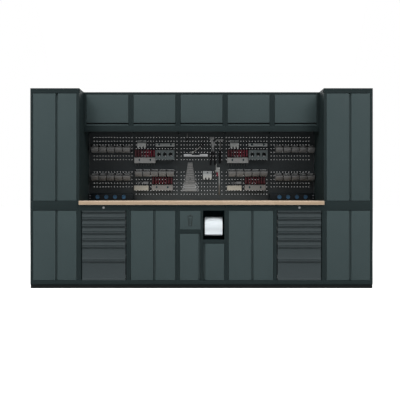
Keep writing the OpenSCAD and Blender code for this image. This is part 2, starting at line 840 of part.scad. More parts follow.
module service_case() {
    wall_x = service_x + divider_x + divider_w / 2;
    niche_x = wall_x + sheet_t / 2 + weld_gap;
    niche_w = service_x + case_w - skin_in - niche_x;
    niche_y = y_face + rail_d + weld_gap;
    color(frame_paint) {
        base_case(3, [waste_leaf, roll_leaf]);
        difference() {
            case_posts(3, z_floor, lower_h);
            at_all_flap_pins() gap_bore();
        }
        difference() {
            translate([service_x + divider_x, y_face, z_floor + weld_gap])
                tube_z(divider_w, rail_d, lower_h - 2 * weld_gap);
            at_all_flap_pins() gap_bore();
        }
        bay_rail(post_w, waste_bay_w, z_waste_rail, waste_leaf);
        bay_rail(roll_bay_x, roll_bay_w, z_roll_rail, roll_leaf);
        translate([wall_x - sheet_t / 2, niche_y, z_floor + weld_gap])
            cube([sheet_t, case_d - rail_d - sheet_t - 2 * weld_gap, lower_h - 2 * weld_gap]);
    }
    color(black_paint) {
        for (z = [z_niche - sheet_t, z_head]) translate([niche_x, niche_y, z])
            cube([niche_w, niche_d, sheet_t]);
        translate([niche_x, niche_y + niche_d - sheet_t, z_niche + weld_gap])
            cube([niche_w, sheet_t, niche_h - 2 * weld_gap]);
    }
}

// A rail across one bay of the service case
module bay_rail(x, w, z, p) {
    difference() {
        translate([service_x + x + weld_gap, y_face, z]) tube_x(w - 2 * weld_gap, rail_d, bay_rail_h);
        at_leaf_pins(p) gap_bore();
    }
}

module overhead_cases() {
    color(frame_paint) for (i = [1:5]) overhead_case(i);
}

module overhead_case(i) {
    x = case_x(i);
    y_in = y_over + rail_d + weld_gap;
    skin_d = overhead_d - rail_d - sheet_t - 2 * weld_gap;
    skin_h = overhead_h - sheet_t - weld_gap;
    inner_w = case_w - 2 * skin_in;
    for (e = [weld_gap, case_w - sheet_t - weld_gap]) translate([x + e, y_in, z_pelmet])
        cube([sheet_t, skin_d, skin_h]);
    translate([x, y_in, total_h - sheet_t]) cube([case_w, overhead_d - rail_d - weld_gap, sheet_t]);
    translate([x + skin_in, y_in, z_overhead - sheet_t]) cube([inner_w, skin_d, sheet_t]);
    difference() {
        translate([x, y_back - sheet_t, z_overhead - sheet_t])
            cube([case_w, sheet_t, total_h - z_overhead - weld_gap]);
        wall_holes(i, over_wall_z);
    }
    back_rail(i, over_wall_z - wall_rail_h / 2, wall_rail_h) wall_holes(i, over_wall_z);
    difference() {
        for (e = [0, case_w - post_w]) post(x + e, y_over, z_overhead, post_w, z_flap_top - z_overhead);
        at_all_flap_pins() gap_bore();
    }
    translate([x, y_over, z_flap_top]) tube_x(case_w, rail_d, flap_rail_h);
    translate([x, y_over, z_pelmet]) tube_x(case_w, rail_d, pelmet_h);
}

module plinth() {
    run_w = modules * module_w - 2 * side_play;
    x0 = case_x(0);
    cross_y = y_face + plinth_setback + plinth_tube_w + weld_gap;
    cross_l = y_back - plinth_tube_w - weld_gap - cross_y;
    color(black_paint) {
        for (y = [y_face + plinth_setback, y_back - plinth_tube_w])
            translate([x0, y, 0]) tube_x(run_w, plinth_tube_w, plinth_h);
        for (i = [0:modules]) translate([x0 + i * (run_w - plinth_tube_w) / modules, cross_y, 0])
            tube_y(plinth_tube_w, cross_l, plinth_h);
    }
}

module worktop() {
    color(wood) translate([case_x(1), y_face - worktop_nose, z_base_top])
        cube([5 * module_w - 2 * side_play, case_d + worktop_nose, worktop_t]);
}

// What stands inside the cases

module shelf(i, z) {
    board_t = 20;
    bearer = [10, 12];
    front = rail_d + 15;
    w = case_w - 2 * (skin_in + weld_gap);
    d = case_d - front - sheet_t - 2 * weld_gap;
    translate([case_x(i) + skin_in + weld_gap, y_face + front, z]) {
        tube_x(w, d, board_t);
        for (x = [0, w - bearer[0]]) translate([x, 0, -bearer[1] - weld_gap]) cube([bearer[0], d, bearer[1]]);
    }
}

module shelves() {
    color(frame_paint) {
        for (t = TALLS) shelf(t[1], (z_upper + z_upper_top) / 2);
        for (c = CUPBOARDS) shelf(c[1], z_floor + lower_h / 2);
    }
}

module waste_bin() {
    side_room = door_gap + 10;
    w = waste_bay_w - 2 * side_room;
    wall = waste_bin_wall;
    x = service_x + post_w + side_room;
    color(black_paint) translate([x, y_face + rail_d + waste_bin_setback, z_floor]) difference() {
        cube([w, waste_bin_d, waste_bin_h]);
        translate([wall, wall, wall]) cube([w - 2 * wall, waste_bin_d - 2 * wall, waste_bin_h]);
    }
}

module roll_spindle() {
    x0 = service_x + divider_x + divider_w / 2 + sheet_t / 2 + weld_gap;
    l = service_x + case_w - skin_in - x0;
    flange_t = 4;
    color(steel) translate([x0, y_face + spindle_y, z_niche + spindle_z]) {
        rod_x(spindle_r, l);
        for (x = [0, l - flange_t]) translate([x, 0, 0]) rod_x(spindle_r + flange_t, flange_t);
    }
}

module paper_roll() {
    x = service_x + roll_bay_x + roll_side;
    color(paper) translate([x, y_face + spindle_y, z_niche + spindle_z]) difference() {
        rod_x(roll_r, roll_w);
        translate([-cut, 0, 0]) rod_x(spindle_r + pin_clear, roll_w + 2 * cut);
    }
}

// Perforated panels and power strips

panel_z = z_work + weld_gap;
panel_h = z_overhead - sheet_t - weld_gap - panel_z;
panel_w = case_w - 2 * skin_in;
panel_columns = 15;
panel_rows = 7;
strip_rows_hidden = 2;
panel_fit = min(1, (z_pelmet - z_work) / tool_room);
function over_worktop(z) = z_work + panel_fit * z;

// Rows and columns of one panel: the outer panels leave out the outermost column and the rows behind a strip
last_column = panel_columns - 1;
function panel_cols(i) = [for (c = [i == 1 ? 1 : 0:i == 5 ? last_column - 1 : last_column])
    (c - last_column / 2) * hole_pitch_x];
function first_row(i) = i == 1 || i == 5 ? strip_rows_hidden : 0;
function panel_row_zs(i) = concat(
    [for (r = [first_row(i):panel_rows - 1]) over_worktop(low_rows_z + r * hole_pitch_z)],
    [for (r = [0:panel_rows - 1]) over_worktop(high_rows_z + r * hole_pitch_z)]);

module perforated_panels() {
    color(black_paint) for (i = [1:5]) translate([module_mid(i), y_panel, 0]) along_y(panel_t) difference() {
        translate([-panel_w / 2, panel_z]) square([panel_w, panel_h]);
        for (x = panel_cols(i)) for (z = panel_row_zs(i)) translate([x, z]) square(hole_w, center = true);
    }
}

module panel_rails() {
    y = y_panel + panel_t + weld_gap;
    band_mid = (low_rows_z + (panel_rows - 1) * hole_pitch_z + high_rows_z) / 2;
    band_z = over_worktop(band_mid) - panel_rail_h / 2;
    rail_zs = [panel_z, band_z, z_pelmet - weld_gap - panel_rail_h];
    run_w = 5 * module_w - 2 * side_play;
    joint = [24, 3];
    color(black_paint) {
        for (z = rail_zs) translate([case_x(1), y, z]) tube_x(run_w, y_back - y, panel_rail_h);
        for (i = [0:5]) for (k = [0, 1])
            translate([case_x(1) + i * (run_w - joint[0]) / 5, y, rail_zs[k] + panel_rail_h + weld_gap])
            cube([joint[0], joint[1], rail_zs[k + 1] - rail_zs[k] - panel_rail_h - 2 * weld_gap]);
    }
}

strip_w = module_w - 2 * strip_end;
strip_y = y_panel - seat_gap - strip_d;
socket_count = 4;
function socket_xs() = [for (k = [0:socket_count - 1]) (k - (socket_count - 1) / 2) * socket_pitch];
function outlet_x(i) = (i == 1 ? -1 : 1) * (strip_w / 2 - 16);
outlet = [12, 10];
outlet_rise = 15;

module at_outlets(i) {
    x = outlet_x(i) - outlet[0] / 2;
    z = (strip_h - outlet[1]) / 2;
    for (s = [-1, 1]) translate([x, 0, z + s * outlet_rise]) children();
}

module power_strips() {
    chamfer = 8;
    color(black_paint) for (s = STACKS) translate([module_mid(s[1]), strip_y, z_work]) difference() {
        translate([-strip_w / 2, 0, 0]) along_x(strip_w)
            polygon([[0, 0], [strip_d, 0], [strip_d, strip_h], [chamfer, strip_h], [0, strip_h - chamfer]]);
        for (x = socket_xs()) translate([x, -cut, strip_h / 2]) rod_y(socket_r + weld_gap, socket_d + cut);
        at_outlets(s[1]) translate([-weld_gap, -cut, -weld_gap])
            cube([outlet[0] + 2 * weld_gap, socket_d + cut, outlet[1] + 2 * weld_gap]);
    }
}

module sockets() {
    rim = 3;
    well_d = 5;
    contact_r = 2.6;
    contact_off = 9.5;
    color(blue) for (s = STACKS) translate([module_mid(s[1]), strip_y, z_work]) {
        for (x = socket_xs()) translate([x, -1, strip_h / 2]) difference() {
            rod_y(socket_r, socket_d);
            translate([0, -cut, 0]) rod_y(socket_r - rim, well_d + cut);
            for (e = [-1, 1]) translate([e * contact_off, well_d - cut, 0])
                rod_y(contact_r, socket_d - well_d);
        }
        at_outlets(s[1]) cube([outlet[0], socket_d - 1, outlet[1]]);
    }
}

// What hangs on the panels

y_hang = y_panel - seat_gap;
bins_in_row = 5;
bin_row_w = bins_in_row * bin_pitch;

// Places its children on a panel, x from the panel's middle and z over the worktop
module on_panel(i, x, z) {
    translate([module_mid(i), y_hang, z_work]) scale(panel_fit) translate([x, 0, z]) children();
}

// Bins and tools right of the middle hang a little further right than their twins
function set_x(c, x) = x + (c[1] > 3 ? right_set_shift : 0);

// Bin rows are [panel, middle x, height over the worktop]
BIN_ROWS = concat(
    [for (s = STACKS) for (z = [bins_high_z, bins_low_z]) [s[1], set_x(s, 0), z]],
    [for (c = CUPBOARDS) [c[1], set_x(c, bins_mid_x), bins_mid_z]]);
function bin_xs() = [for (k = [0:bins_in_row - 1]) (k - (bins_in_row - 1) / 2) * bin_pitch - bin_w / 2];

// A bin's side: the toe slopes forward, and the mouth is scooped lower than the back
function bin_side() = [[0, 0], [bin_toe - bin_d, 0], [-bin_d, bin_toe], [-bin_d, bin_mouth_h],
    [bin_h - bin_mouth_h - bin_d, bin_h], [0, bin_h]];
function bin_hollow(t) = [[-t, t], [bin_toe - bin_d + t / 2, t], [t - bin_d, bin_toe + t / 2],
    [t - bin_d, bin_h + cut], [-t, bin_h + cut]];

module storage_bins() {
    color(bin_grey) for (b = BIN_ROWS) for (x = bin_xs()) on_panel(b[0], b[1] + x, b[2])
        translate([0, -bin_rail_t - seat_gap, 0]) difference() {
            along_x(bin_w) polygon(bin_side());
            translate([bin_wall, 0, 0]) along_x(bin_w - 2 * bin_wall) polygon(bin_hollow(bin_wall));
        }
}

// Driver racks are [panel, middle x, height over the worktop]
RACKS = [for (c = CUPBOARDS) for (r = [[rack_high_x, rack_high_z], [rack_low_x, rack_low_z]])
    [c[1], set_x(c, r[0]), r[1]]];
drivers_in_rack = 8;
driver_pitch = rack_w / drivers_in_rack;
function driver_xs() = [for (k = [0:drivers_in_rack - 1]) (k - (drivers_in_rack - 1) / 2) * driver_pitch];

// Places its children once for each tool set, at an offset from the set's middle
module in_sets(x, z) {
    for (c = CUPBOARDS) on_panel(c[1], set_x(c, x), z) children();
}

// A folded rack with two drilled shelves behind a front plate
module driver_rack() {
    difference() {
        translate([-rack_w / 2, 0, 0]) {
            translate([0, -rack_t, 0]) cube([rack_w, rack_t, rack_h]);
            for (z = [0, rack_h - rack_t]) translate([0, -rack_d, z]) cube([rack_w, rack_d, rack_t]);
            translate([0, -rack_d, 0]) cube([rack_w, rack_t, rack_h - rack_t - rack_slot]);
        }
        for (x = driver_xs()) translate([x, -rack_d / 2, -cut])
            cylinder(r = blade_r + blade_clear, h = rack_h + 2 * cut);
    }
}

// A rail whose front lip is notched for spanners
module notched_rail() {
    h = 38;
    d = 26;
    lip = h - rack_slot;
    notch = [6, 9];
    notches = 7;
    translate([-holder_w / 2, -rack_t, 0]) cube([holder_w, rack_t, h]);
    translate([-holder_w / 2, -d, 0]) cube([holder_w, d, rack_t]);
    difference() {
        translate([-holder_w / 2, -d, 0]) cube([holder_w, rack_t, lip]);
        for (k = [1:notches])
            translate([k * holder_w / (notches + 1) - holder_w / 2 - notch[0] / 2, -d - cut, lip - notch[1]])
                cube([notch[0], rack_t + 2 * cut, notch[1] + cut]);
    }
}

// A holder with three round openings that stands off the panel
module can_holder() {
    d = 58;
    ring_r = 22;
    ring_z = 58;
    difference() {
        translate([-holder_w / 2, -d, 0]) cube([holder_w, rack_t, can_holder_h]);
        for (k = [-1:1]) translate([k * holder_w / 3.3, -d - cut, ring_z]) rod_y(ring_r, rack_t + 2 * cut);
    }
    translate([-holder_w / 2, -d, can_holder_h - rack_t]) cube([holder_w, d, rack_t]);
    for (x = [-holder_w / 2, holder_w / 2 - rack_t]) translate([x, -d, 0]) cube([rack_t, d, can_holder_h]);
}

// A small plate with a shelf, whose front lip ends in three teeth
module prong_holder() {
    h = 94;
    d = 34;
    lip_top = 58;
    teeth_h = 22;
    tooth_w = 12;
    root_w = 26;
    pitch = (prong_holder_w - root_w) / 2;
    translate([-prong_holder_w / 2, 0, 0]) {
        translate([0, -rack_t, lip_top - rack_t]) cube([prong_holder_w, rack_t, h - lip_top + rack_t]);
        translate([0, -d, lip_top - rack_t]) cube([prong_holder_w, d, rack_t]);
        translate([0, -d, teeth_h]) cube([prong_holder_w, rack_t, lip_top - teeth_h]);
    }
    for (k = [-1:1]) translate([k * pitch, -d, 0]) along_y(rack_t)
        polygon([[-tooth_w / 2, 0], [tooth_w / 2, 0], [root_w / 2, teeth_h], [-root_w / 2, teeth_h]]);
}

function tower_plate() = [[-tower_foot_w / 2, 0], [tower_foot_w / 2, 0],
    [tower_top_w / 2, spanner_count * spanner_step], [-tower_top_w / 2, spanner_count * spanner_step]];

key_count = 6;
key_floor = 12;
function key_x(k) = (k - (key_count - 1) / 2) * key_block_w / (key_count + 0.4);
function key_r(k) = 2 + k * 0.4;

// The block that holds the hex keys
module key_block() {
    difference() {
        translate([-key_block_w / 2, -key_block_d, 0]) cube([key_block_w, key_block_d, key_block_h]);
        for (k = [0:key_count - 1]) translate([key_x(k), -key_block_d / 2, key_floor])
            cylinder(r = key_r(k) + blade_clear, h = key_block_h);
    }
}

// How far each key stands over its block, and the length of its bent arm
key_rise = [45, 45, 38, 30, 18, 18];
key_arm = [0, 0, 20, 20, 0, 0];

// The two thickest keys carry a folding set
module hex_keys() {
    fold_set = [56, 14, 26];
    translate([0, -key_block_d / 2, 0]) {
        for (k = [0:key_count - 1]) translate([key_x(k), 0, 0]) {
            foot = key_floor + seat_gap;
            top = key_block_h + key_rise[k];
            translate([0, 0, foot]) cylinder(r = key_r(k), h = top - foot);
            if (key_arm[k] > 0) translate([-key_r(k), 0, top + weld_gap + key_r(k)]) rotate([0, 90, 0])
                cylinder(r = key_r(k), h = key_arm[k]);
        }
        translate([(key_x(4) + key_x(5)) / 2, 0, key_block_h + key_rise[5] + weld_gap + fold_set[2] / 2])
            cube(fold_set, center = true);
    }
}

module tool_racks() {
    color(light_grey) {
        for (r = RACKS) on_panel(r[0], r[1], r[2]) driver_rack();
        in_sets(holder_x, notched_rail_z) notched_rail();
        in_sets(holder_x, can_holder_z) can_holder();
        in_sets(prong_holder_x, prong_holder_z) prong_holder();
        on_panel(3, mid_prong_x, mid_prong_z) prong_holder();
        for (b = BIN_ROWS) on_panel(b[0], b[1], b[2] + bin_h - bin_rail_h)
            translate([-bin_row_w / 2, -bin_rail_t, 0]) cube([bin_row_w, bin_rail_t, bin_rail_h]);
        on_panel(3, tower_x, tower_z) translate([0, -rack_t, 0]) along_y(rack_t) polygon(tower_plate());
    }
    color(cream) in_sets(key_block_x, rack_low_z) key_block();
}

module at_drivers() {
    for (r = RACKS) for (x = driver_xs()) on_panel(r[0], r[1] + x, r[2] + rack_h + weld_gap)
        translate([0, -rack_d / 2, 0]) children();
}

module driver_handle() {
    waist_r = handle_r * 0.8;
    neck_r = handle_r * 0.6;
    rotate_extrude() polygon([[0, 0], [neck_r, 0], [handle_r, handle_l * 0.2], [waist_r, handle_l * 0.6],
        [handle_r, handle_l * 0.88], [neck_r, handle_l], [0, handle_l]]);
}

// Pliers and snips hang with their jaws up, the pivot at the origin
plier_t = 8;
plier_grip_r = 9;
plier_arm = 60;
plier_grip_l = 150;
plier_spread = 6;

plier_jaw_w = 26;

// The pivot and the two arms that carry the grips, with the jaws as children
module jaw_steel() {
    arm_w = 9;
    translate([0, -plier_t, 0]) along_y(plier_t) union() {
        circle(plier_jaw_w * 0.6);
        children();
        for (s = [-1, 1]) rotate(s * plier_spread) translate([s * arm_w / 2 - arm_w / 2, -plier_arm])
            square([arm_w, plier_arm]);
    }
}

module straight_jaws() {
    jaw_l = 96;
    w = plier_jaw_w;
    polygon([[-w / 2, 0], [w / 2, 0], [w / 4, jaw_l], [-w / 4, jaw_l]]);
}

// A hooked jaw that leans to the left, with a lug on its right
module hooked_jaws() {
    hook = [50, 32];
    hook_z = 74;
    lean = 14;
    w = plier_jaw_w;
    polygon([[-w / 2, 0], [w, w / 2], [w / 2 - lean, hook_z + cut], [-w / 2 - lean, hook_z + cut]]);
    translate([lean - hook[0], hook_z]) square(hook);
    polygon([[0, 0], [w * 1.3, w * 0.6], [w * 0.7, hook_z * 0.8], [0, hook_z * 0.8]]);
}

module plier_grips() {
    for (s = [-1, 1]) rotate([0, -s * plier_spread, 0])
        translate([s * plier_grip_r / 2, -plier_grip_r, -plier_arm - weld_gap - plier_grip_l])
            cylinder(r = plier_grip_r, h = plier_grip_l);
}

module at_pliers() {
    on_panel(3, plier_x, plier_z) children();
}

module at_snips() {
    on_panel(3, snip_x, snip_z) scale(snip_scale) children();
}

// A hammer with its head up, the foot of its grip at the origin
module hammer_steel() {
    head = [77, 20, 15];
    shaft_r = 6;
    translate([0, -hammer_grip_r, hammer_grip_l + weld_gap])
        cylinder(r = shaft_r, h = hammer_l - hammer_grip_l - head[2] / 2);
    translate([-head[0] / 2, -hammer_grip_r - head[1] / 2, hammer_l - head[2]]) cube(head);
}

// A caliper that hangs with its jaws up, its slide and knob to the left of the beam
caliper_beam = [13, 4, caliper_l];
caliper_slide = [18, 7, 44];
caliper_left = caliper_beam[0] / 2 - caliper_slide[0];

module caliper() {
    jaw = [44, 4, 30];
    tip = [8, 4, 44];
    moving_jaw = [52, 7, 22];
    right = caliper_beam[0] / 2;
    translate([-right, -caliper_beam[1], 0]) cube(caliper_beam);
    translate([right - jaw[0], -jaw[1], caliper_l - jaw[2]]) cube(jaw);
    translate([right - jaw[0], -tip[1], caliper_l]) cube(tip);
    translate([caliper_left, -caliper_slide[1], caliper_mark_z]) cube(caliper_slide);
    translate([right - moving_jaw[0], -moving_jaw[1], caliper_mark_z + caliper_slide[2]]) cube(moving_jaw);
}

module caliper_knob() {
    knob_w = 20;
    translate([caliper_left - weld_gap - knob_w, -caliper_slide[1], 0])
        cube([knob_w, caliper_slide[1], caliper_slide[2]]);
}

// A straightedge with a waist and a ratchet lying over it at a slant
module bench_rule() {
    notch = [rule_l * 0.34, rule_h * 0.4];
    notch_x = (rule_l - notch[0]) / 2;
    translate([0, -rule_t, 0]) along_y(rule_t) difference() {
        square([rule_l, rule_h]);
        translate([notch_x, rule_h - notch[1]]) square([notch[0], notch[1] + cut]);
    }
}

module at_ratchet() {
    on_panel(3, ratchet_x, ratchet_z) translate([0, -ratchet_r, 0]) rotate([0, 90 - ratchet_tilt, 0])
        children();
}

module tool_grips() {
    color(red) {
        at_drivers() driver_handle();
        on_panel(3, caliper_x, caliper_z + caliper_mark_z) caliper_knob();
    }
    color(black_paint) {
        at_pliers() plier_grips();
        at_snips() plier_grips();
        on_panel(3, hammer_x, hammer_z) translate([0, -hammer_grip_r, 0])
            cylinder(r = hammer_grip_r, h = hammer_grip_l);
        at_ratchet() translate([0, 0, ratchet_l + weld_gap]) cylinder(r = ratchet_r, h = ratchet_grip_l);
    }
}

// A flat spanner along X with an open jaw and a ring
module spanner(l) {
    head_r = 4 + l * 0.055;
    along_y(spanner_t) difference() {
        union() {
            square([l - 2 * head_r, head_r], center = true);
            for (s = [-1, 1]) translate([s * (l / 2 - head_r), 0]) circle(head_r);
        }
        translate([l / 2 - head_r, 0]) circle(head_r * 0.55);
        translate([-l / 2, 0]) square([head_r * 2, head_r * 0.8], center = true);
    }
}

module spanners() {
    for (k = [0:spanner_count - 1]) on_panel(3, tower_x, tower_z + (k + 0.5) * spanner_step)
        translate([0, -rack_t - seat_gap - spanner_t, 0])
            spanner(spanner_long - k * (spanner_long - spanner_short) / (spanner_count - 1));
}

module hand_tools() {
    color(steel) {
        at_drivers() translate([0, 0, -blade_l - 2 * weld_gap]) cylinder(r = blade_r, h = blade_l);
        spanners();
        in_sets(key_block_x, rack_low_z) hex_keys();
        at_pliers() jaw_steel() hooked_jaws();
        at_snips() jaw_steel() straight_jaws();
        on_panel(3, hammer_x, hammer_z) hammer_steel();
        on_panel(3, caliper_x, caliper_z) caliper();
        on_panel(3, rule_x, rule_z) bench_rule();
        at_ratchet() {
            cylinder(r = ratchet_r * 0.45, h = ratchet_l);
            rotate([90, 0, 0]) cylinder(r = ratchet_r * 1.4, h = ratchet_r * 1.8, center = true);
        }
    }
}

for (t = TALLS) tall_case(t[1]);
for (s = STACKS) drawer_case(s[1]);
for (c = CUPBOARDS) cupboard_case(c[1]);
plinth();
service_case();
overhead_cases();
worktop();
perforated_panels();
panel_rails();
hinge_pins();
drawer_runners();
shelves();
waste_bin();
roll_spindle();
power_strips();
sockets();
storage_bins();
tool_racks();
tool_grips();
hand_tools();
for (d = DOORS) leaf(d[1]);
waste_flap();
paper_roll();
for (s = STACKS) lock(s[1]);
for (i = [1:5]) overhead_flap(i);
for (s = STACKS) for (k = [1:drawer_count])
    drawer(s[1], k - 1);
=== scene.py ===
import json
import math

import bmesh
import bpy
from mathutils import Matrix, Vector


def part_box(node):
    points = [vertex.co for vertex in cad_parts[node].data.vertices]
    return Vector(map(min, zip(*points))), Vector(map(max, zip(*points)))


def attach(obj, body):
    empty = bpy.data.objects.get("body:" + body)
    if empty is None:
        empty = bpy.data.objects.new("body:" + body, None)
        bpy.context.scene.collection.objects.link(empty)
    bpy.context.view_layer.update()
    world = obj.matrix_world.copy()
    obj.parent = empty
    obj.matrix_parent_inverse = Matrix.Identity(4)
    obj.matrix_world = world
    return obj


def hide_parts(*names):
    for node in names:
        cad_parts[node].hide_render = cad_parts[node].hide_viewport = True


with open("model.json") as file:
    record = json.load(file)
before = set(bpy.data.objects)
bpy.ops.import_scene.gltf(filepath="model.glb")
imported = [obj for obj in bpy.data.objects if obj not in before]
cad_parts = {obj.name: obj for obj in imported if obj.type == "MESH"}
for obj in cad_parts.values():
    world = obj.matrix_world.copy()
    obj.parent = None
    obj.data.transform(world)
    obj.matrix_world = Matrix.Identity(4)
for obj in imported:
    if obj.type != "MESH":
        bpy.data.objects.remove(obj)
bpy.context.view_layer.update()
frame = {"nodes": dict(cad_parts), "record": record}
nodes = frame["nodes"]
bodies = frame["record"]["behaviour"]["bodies"]
bodyOf = {node: body for body, members in bodies.items() for node in members}
scene = bpy.context.scene
mm = 0.001
worktopTop = 895  # height of the worktop in mm
copyWeld = 0.00002  # corners of a node's copy nearer than this are one, in metres
spinWeld = 0.000005  # the same for turned shapes

# Stage: camera, lights, world and floor

photoCamera = {
    "place": (0, -5.53, 0.965),
    "lens": 46.63,
    "shift": (-0.0039, -0.015),
    "sensor": 36,
    "clipEnd": 200,
}
cameraData = bpy.data.cameras.new("photoCamera")
cameraData.lens = photoCamera["lens"]
cameraData.sensor_width = photoCamera["sensor"]
cameraData.shift_x, cameraData.shift_y = photoCamera["shift"]
cameraData.clip_end = photoCamera["clipEnd"]
cameraObject = bpy.data.objects.new("photoCamera", cameraData)
cameraObject.location = photoCamera["place"]
cameraObject.rotation_euler = (math.radians(90), 0, 0)
scene.collection.objects.link(cameraObject)
scene.camera = cameraObject
scene.view_settings.view_transform = "Standard"

studio = {
    "softboxes": [
        {"name": "leftKey", "place": (-6, -6.5, 11), "aim": (0, 0, 1), "size": (4, 10), "watts": 935},
        {"name": "rightKey", "place": (6, -6.5, 11), "aim": (0, 0, 1), "size": (4, 10), "watts": 935},
        {"name": "frontFill", "place": (0, -7, 1.6), "aim": (0, 0, 1), "size": (6, 2), "watts": 30},
        {"name": "rearSoftbox", "place": (0, 4.2, 4.2), "aim": (0, 0, 1), "size": (6, 2), "watts": 240},
        {"name": "benchGlow", "place": (-0.06, 0.07, 0.93), "aim": (-0.06, 1.07, 1.93), "size": (1.25, 0.04),
         "watts": 1.08, "hidden": True, "tint": (1, 0.95, 0.88)},  # light thrown back from the worktop
    ],
    "ambient": 0.12,
    "ambientTint": (0.95, 0.98, 1, 1),
    "floorSize": 60,
    "floorDrop": 0.0005,
    "floorColour": (0.85, 0.85, 0.85, 1),
    "floorGlow": 0.9,
}


def addSoftbox(box):
    lamp = bpy.data.lights.new(box["name"], "AREA")
    lamp.shape = "RECTANGLE"
    lamp.size, lamp.size_y = box["size"]
    lamp.energy = box["watts"]
    lamp.color = box.get("tint", (1, 1, 1))
    holder = bpy.data.objects.new(box["name"], lamp)
    holder.visible_camera = holder.visible_glossy = not box.get("hidden", False)
    holder.location = box["place"]
    holder.rotation_euler = (Vector(box["aim"]) - Vector(box["place"])).to_track_quat("-Z", "Y").to_euler()
    scene.collection.objects.link(holder)


for box in studio["softboxes"]:
    addSoftbox(box)


def put(tree, kind, **settings):
    made = tree.nodes.new(kind)
    for key, value in settings.items():
        setattr(made, key, value)
    return made


def seenDirectly(tree):
    # 1 where the eye, a mirror or glass looks, 0 where light is gathered
    path = put(tree, "ShaderNodeLightPath")
    first = put(tree, "ShaderNodeMath", operation="MAXIMUM")
    both = put(tree, "ShaderNodeMath", operation="MAXIMUM")
    tree.links.new(path.outputs["Is Camera Ray"], first.inputs[0])
    tree.links.new(path.outputs["Is Transmission Ray"], first.inputs[1])
    tree.links.new(first.outputs[0], both.inputs[0])
    tree.links.new(path.outputs["Is Glossy Ray"], both.inputs[1])
    return both.outputs[0]


def lightWorld():
    world = bpy.data.worlds.new("studioWorld")
    scene.world = world
    world.use_nodes = True
    tree = world.node_tree
    tree.nodes.clear()
    out = put(tree, "ShaderNodeOutputWorld")
    mix = put(tree, "ShaderNodeMixShader")
    soft = put(tree, "ShaderNodeBackground")
    white = put(tree, "ShaderNodeBackground")
    soft.inputs["Color"].default_value = studio["ambientTint"]
    soft.inputs["Strength"].default_value = studio["ambient"]
    white.inputs["Color"].default_value = (1, 1, 1, 1)
    white.inputs["Strength"].default_value = 1
    tree.links.new(seenDirectly(tree), mix.inputs["Fac"])
    tree.links.new(soft.outputs[0], mix.inputs[1])
    tree.links.new(white.outputs[0], mix.inputs[2])
    tree.links.new(mix.outputs[0], out.inputs["Surface"])


lightWorld()


def floorMaterial():
    material = bpy.data.materials.new("paleFloor")
    material.use_nodes = True
    tree = material.node_tree
    tree.nodes.clear()
    out = put(tree, "ShaderNodeOutputMaterial")
    matt = put(tree, "ShaderNodeBsdfDiffuse")
    glow = put(tree, "ShaderNodeEmission")
    add = put(tree, "ShaderNodeAddShader")
    mix = put(tree, "ShaderNodeMixShader")
    matt.inputs["Color"].default_value = studio["floorColour"]
    glow.inputs["Color"].default_value = (1, 1, 1, 1)
    glow.inputs["Strength"].default_value = studio["floorGlow"]
    tree.links.new(matt.outputs[0], add.inputs[0])
    tree.links.new(glow.outputs[0], add.inputs[1])
    tree.links.new(seenDirectly(tree), mix.inputs["Fac"])
    tree.links.new(matt.outputs[0], mix.inputs[1])
    tree.links.new(add.outputs[0], mix.inputs[2])
    tree.links.new(mix.outputs[0], out.inputs["Surface"])
    return material


def addFloor():
    bm = bmesh.new()
    bmesh.ops.create_grid(bm, x_segments=1, y_segments=1, size=studio["floorSize"] / 2)
    bmesh.ops.translate(bm, verts=bm.verts, vec=(0, 0, -studio["floorDrop"]))
    mesh = bpy.data.meshes.new("studioFloor")
    bm.to_mesh(mesh)
    bm.free()
    mesh.materials.append(floorMaterial())
    floor = bpy.data.objects.new("studioFloor", mesh)
    scene.collection.objects.link(floor)


addFloor()
print("stage: camera,", len(studio["softboxes"]), "softboxes, floor")

# Shared shader groups


def newGroup(name, inputs, outputs):
    tree = bpy.data.node_groups.new(name, "ShaderNodeTree")
    for label, kind, start in inputs:
        socket = tree.interface.new_socket(label, in_out="INPUT", socket_type="NodeSocket" + kind)
        socket.default_value = start
    for label, kind in outputs:
        tree.interface.new_socket(label, in_out="OUTPUT", socket_type="NodeSocket" + kind)
    return tree, put(tree, "NodeGroupInput"), put(tree, "NodeGroupOutput")


def noise(tree, vector, scale, detail=2.0, rough=0.5):
    made = put(tree, "ShaderNodeTexNoise")
    made.inputs["Detail"].default_value = detail
    made.inputs["Roughness"].default_value = rough
    if isinstance(scale, (int, float)):
        made.inputs["Scale"].default_value = scale
    else:
        tree.links.new(scale, made.inputs["Scale"])
    tree.links.new(vector, made.inputs["Vector"])
    return made.outputs["Fac"]


def spread(tree, value, low, high, toLow, toHigh):
    made = put(tree, "ShaderNodeMapRange")
    made.inputs["From Min"].default_value = low
    made.inputs["From Max"].default_value = high
    for label, end in (("To Min", toLow), ("To Max", toHigh)):
        if isinstance(end, (int, float)):
            made.inputs[label].default_value = end
        else:
            tree.links.new(end, made.inputs[label])
    tree.links.new(value, made.inputs["Value"])
    return made.outputs["Result"]


def mixColour(tree, factor, first, second, blend="MIX"):
    made = put(tree, "ShaderNodeMix", data_type="RGBA", blend_type=blend)
    for socket, value in ((made.inputs[0], factor), (made.inputs[6], first), (made.inputs[7], second)):
        if isinstance(value, (int, float, tuple)):
            socket.default_value = value
        else:
            tree.links.new(value, socket)
    return made.outputs[2]


def math2(tree, operation, first, second=0.0):
    made = put(tree, "ShaderNodeMath", operation=operation)
    for socket, value in zip(made.inputs, (first, second)):
        if isinstance(value, (int, float)):
            socket.default_value = value
        else:
            tree.links.new(value, socket)
    return made.outputs[0]


def objectPlace(tree, scale=(1, 1, 1), place=(0, 0, 0)):
    where = put(tree, "ShaderNodeTexCoord")
    mapping = put(tree, "ShaderNodeMapping")
    mapping.inputs["Scale"].default_value = scale
    mapping.inputs["Location"].default_value = place
    tree.links.new(where.outputs["Object"], mapping.inputs["Vector"])
    return mapping.outputs["Vector"]


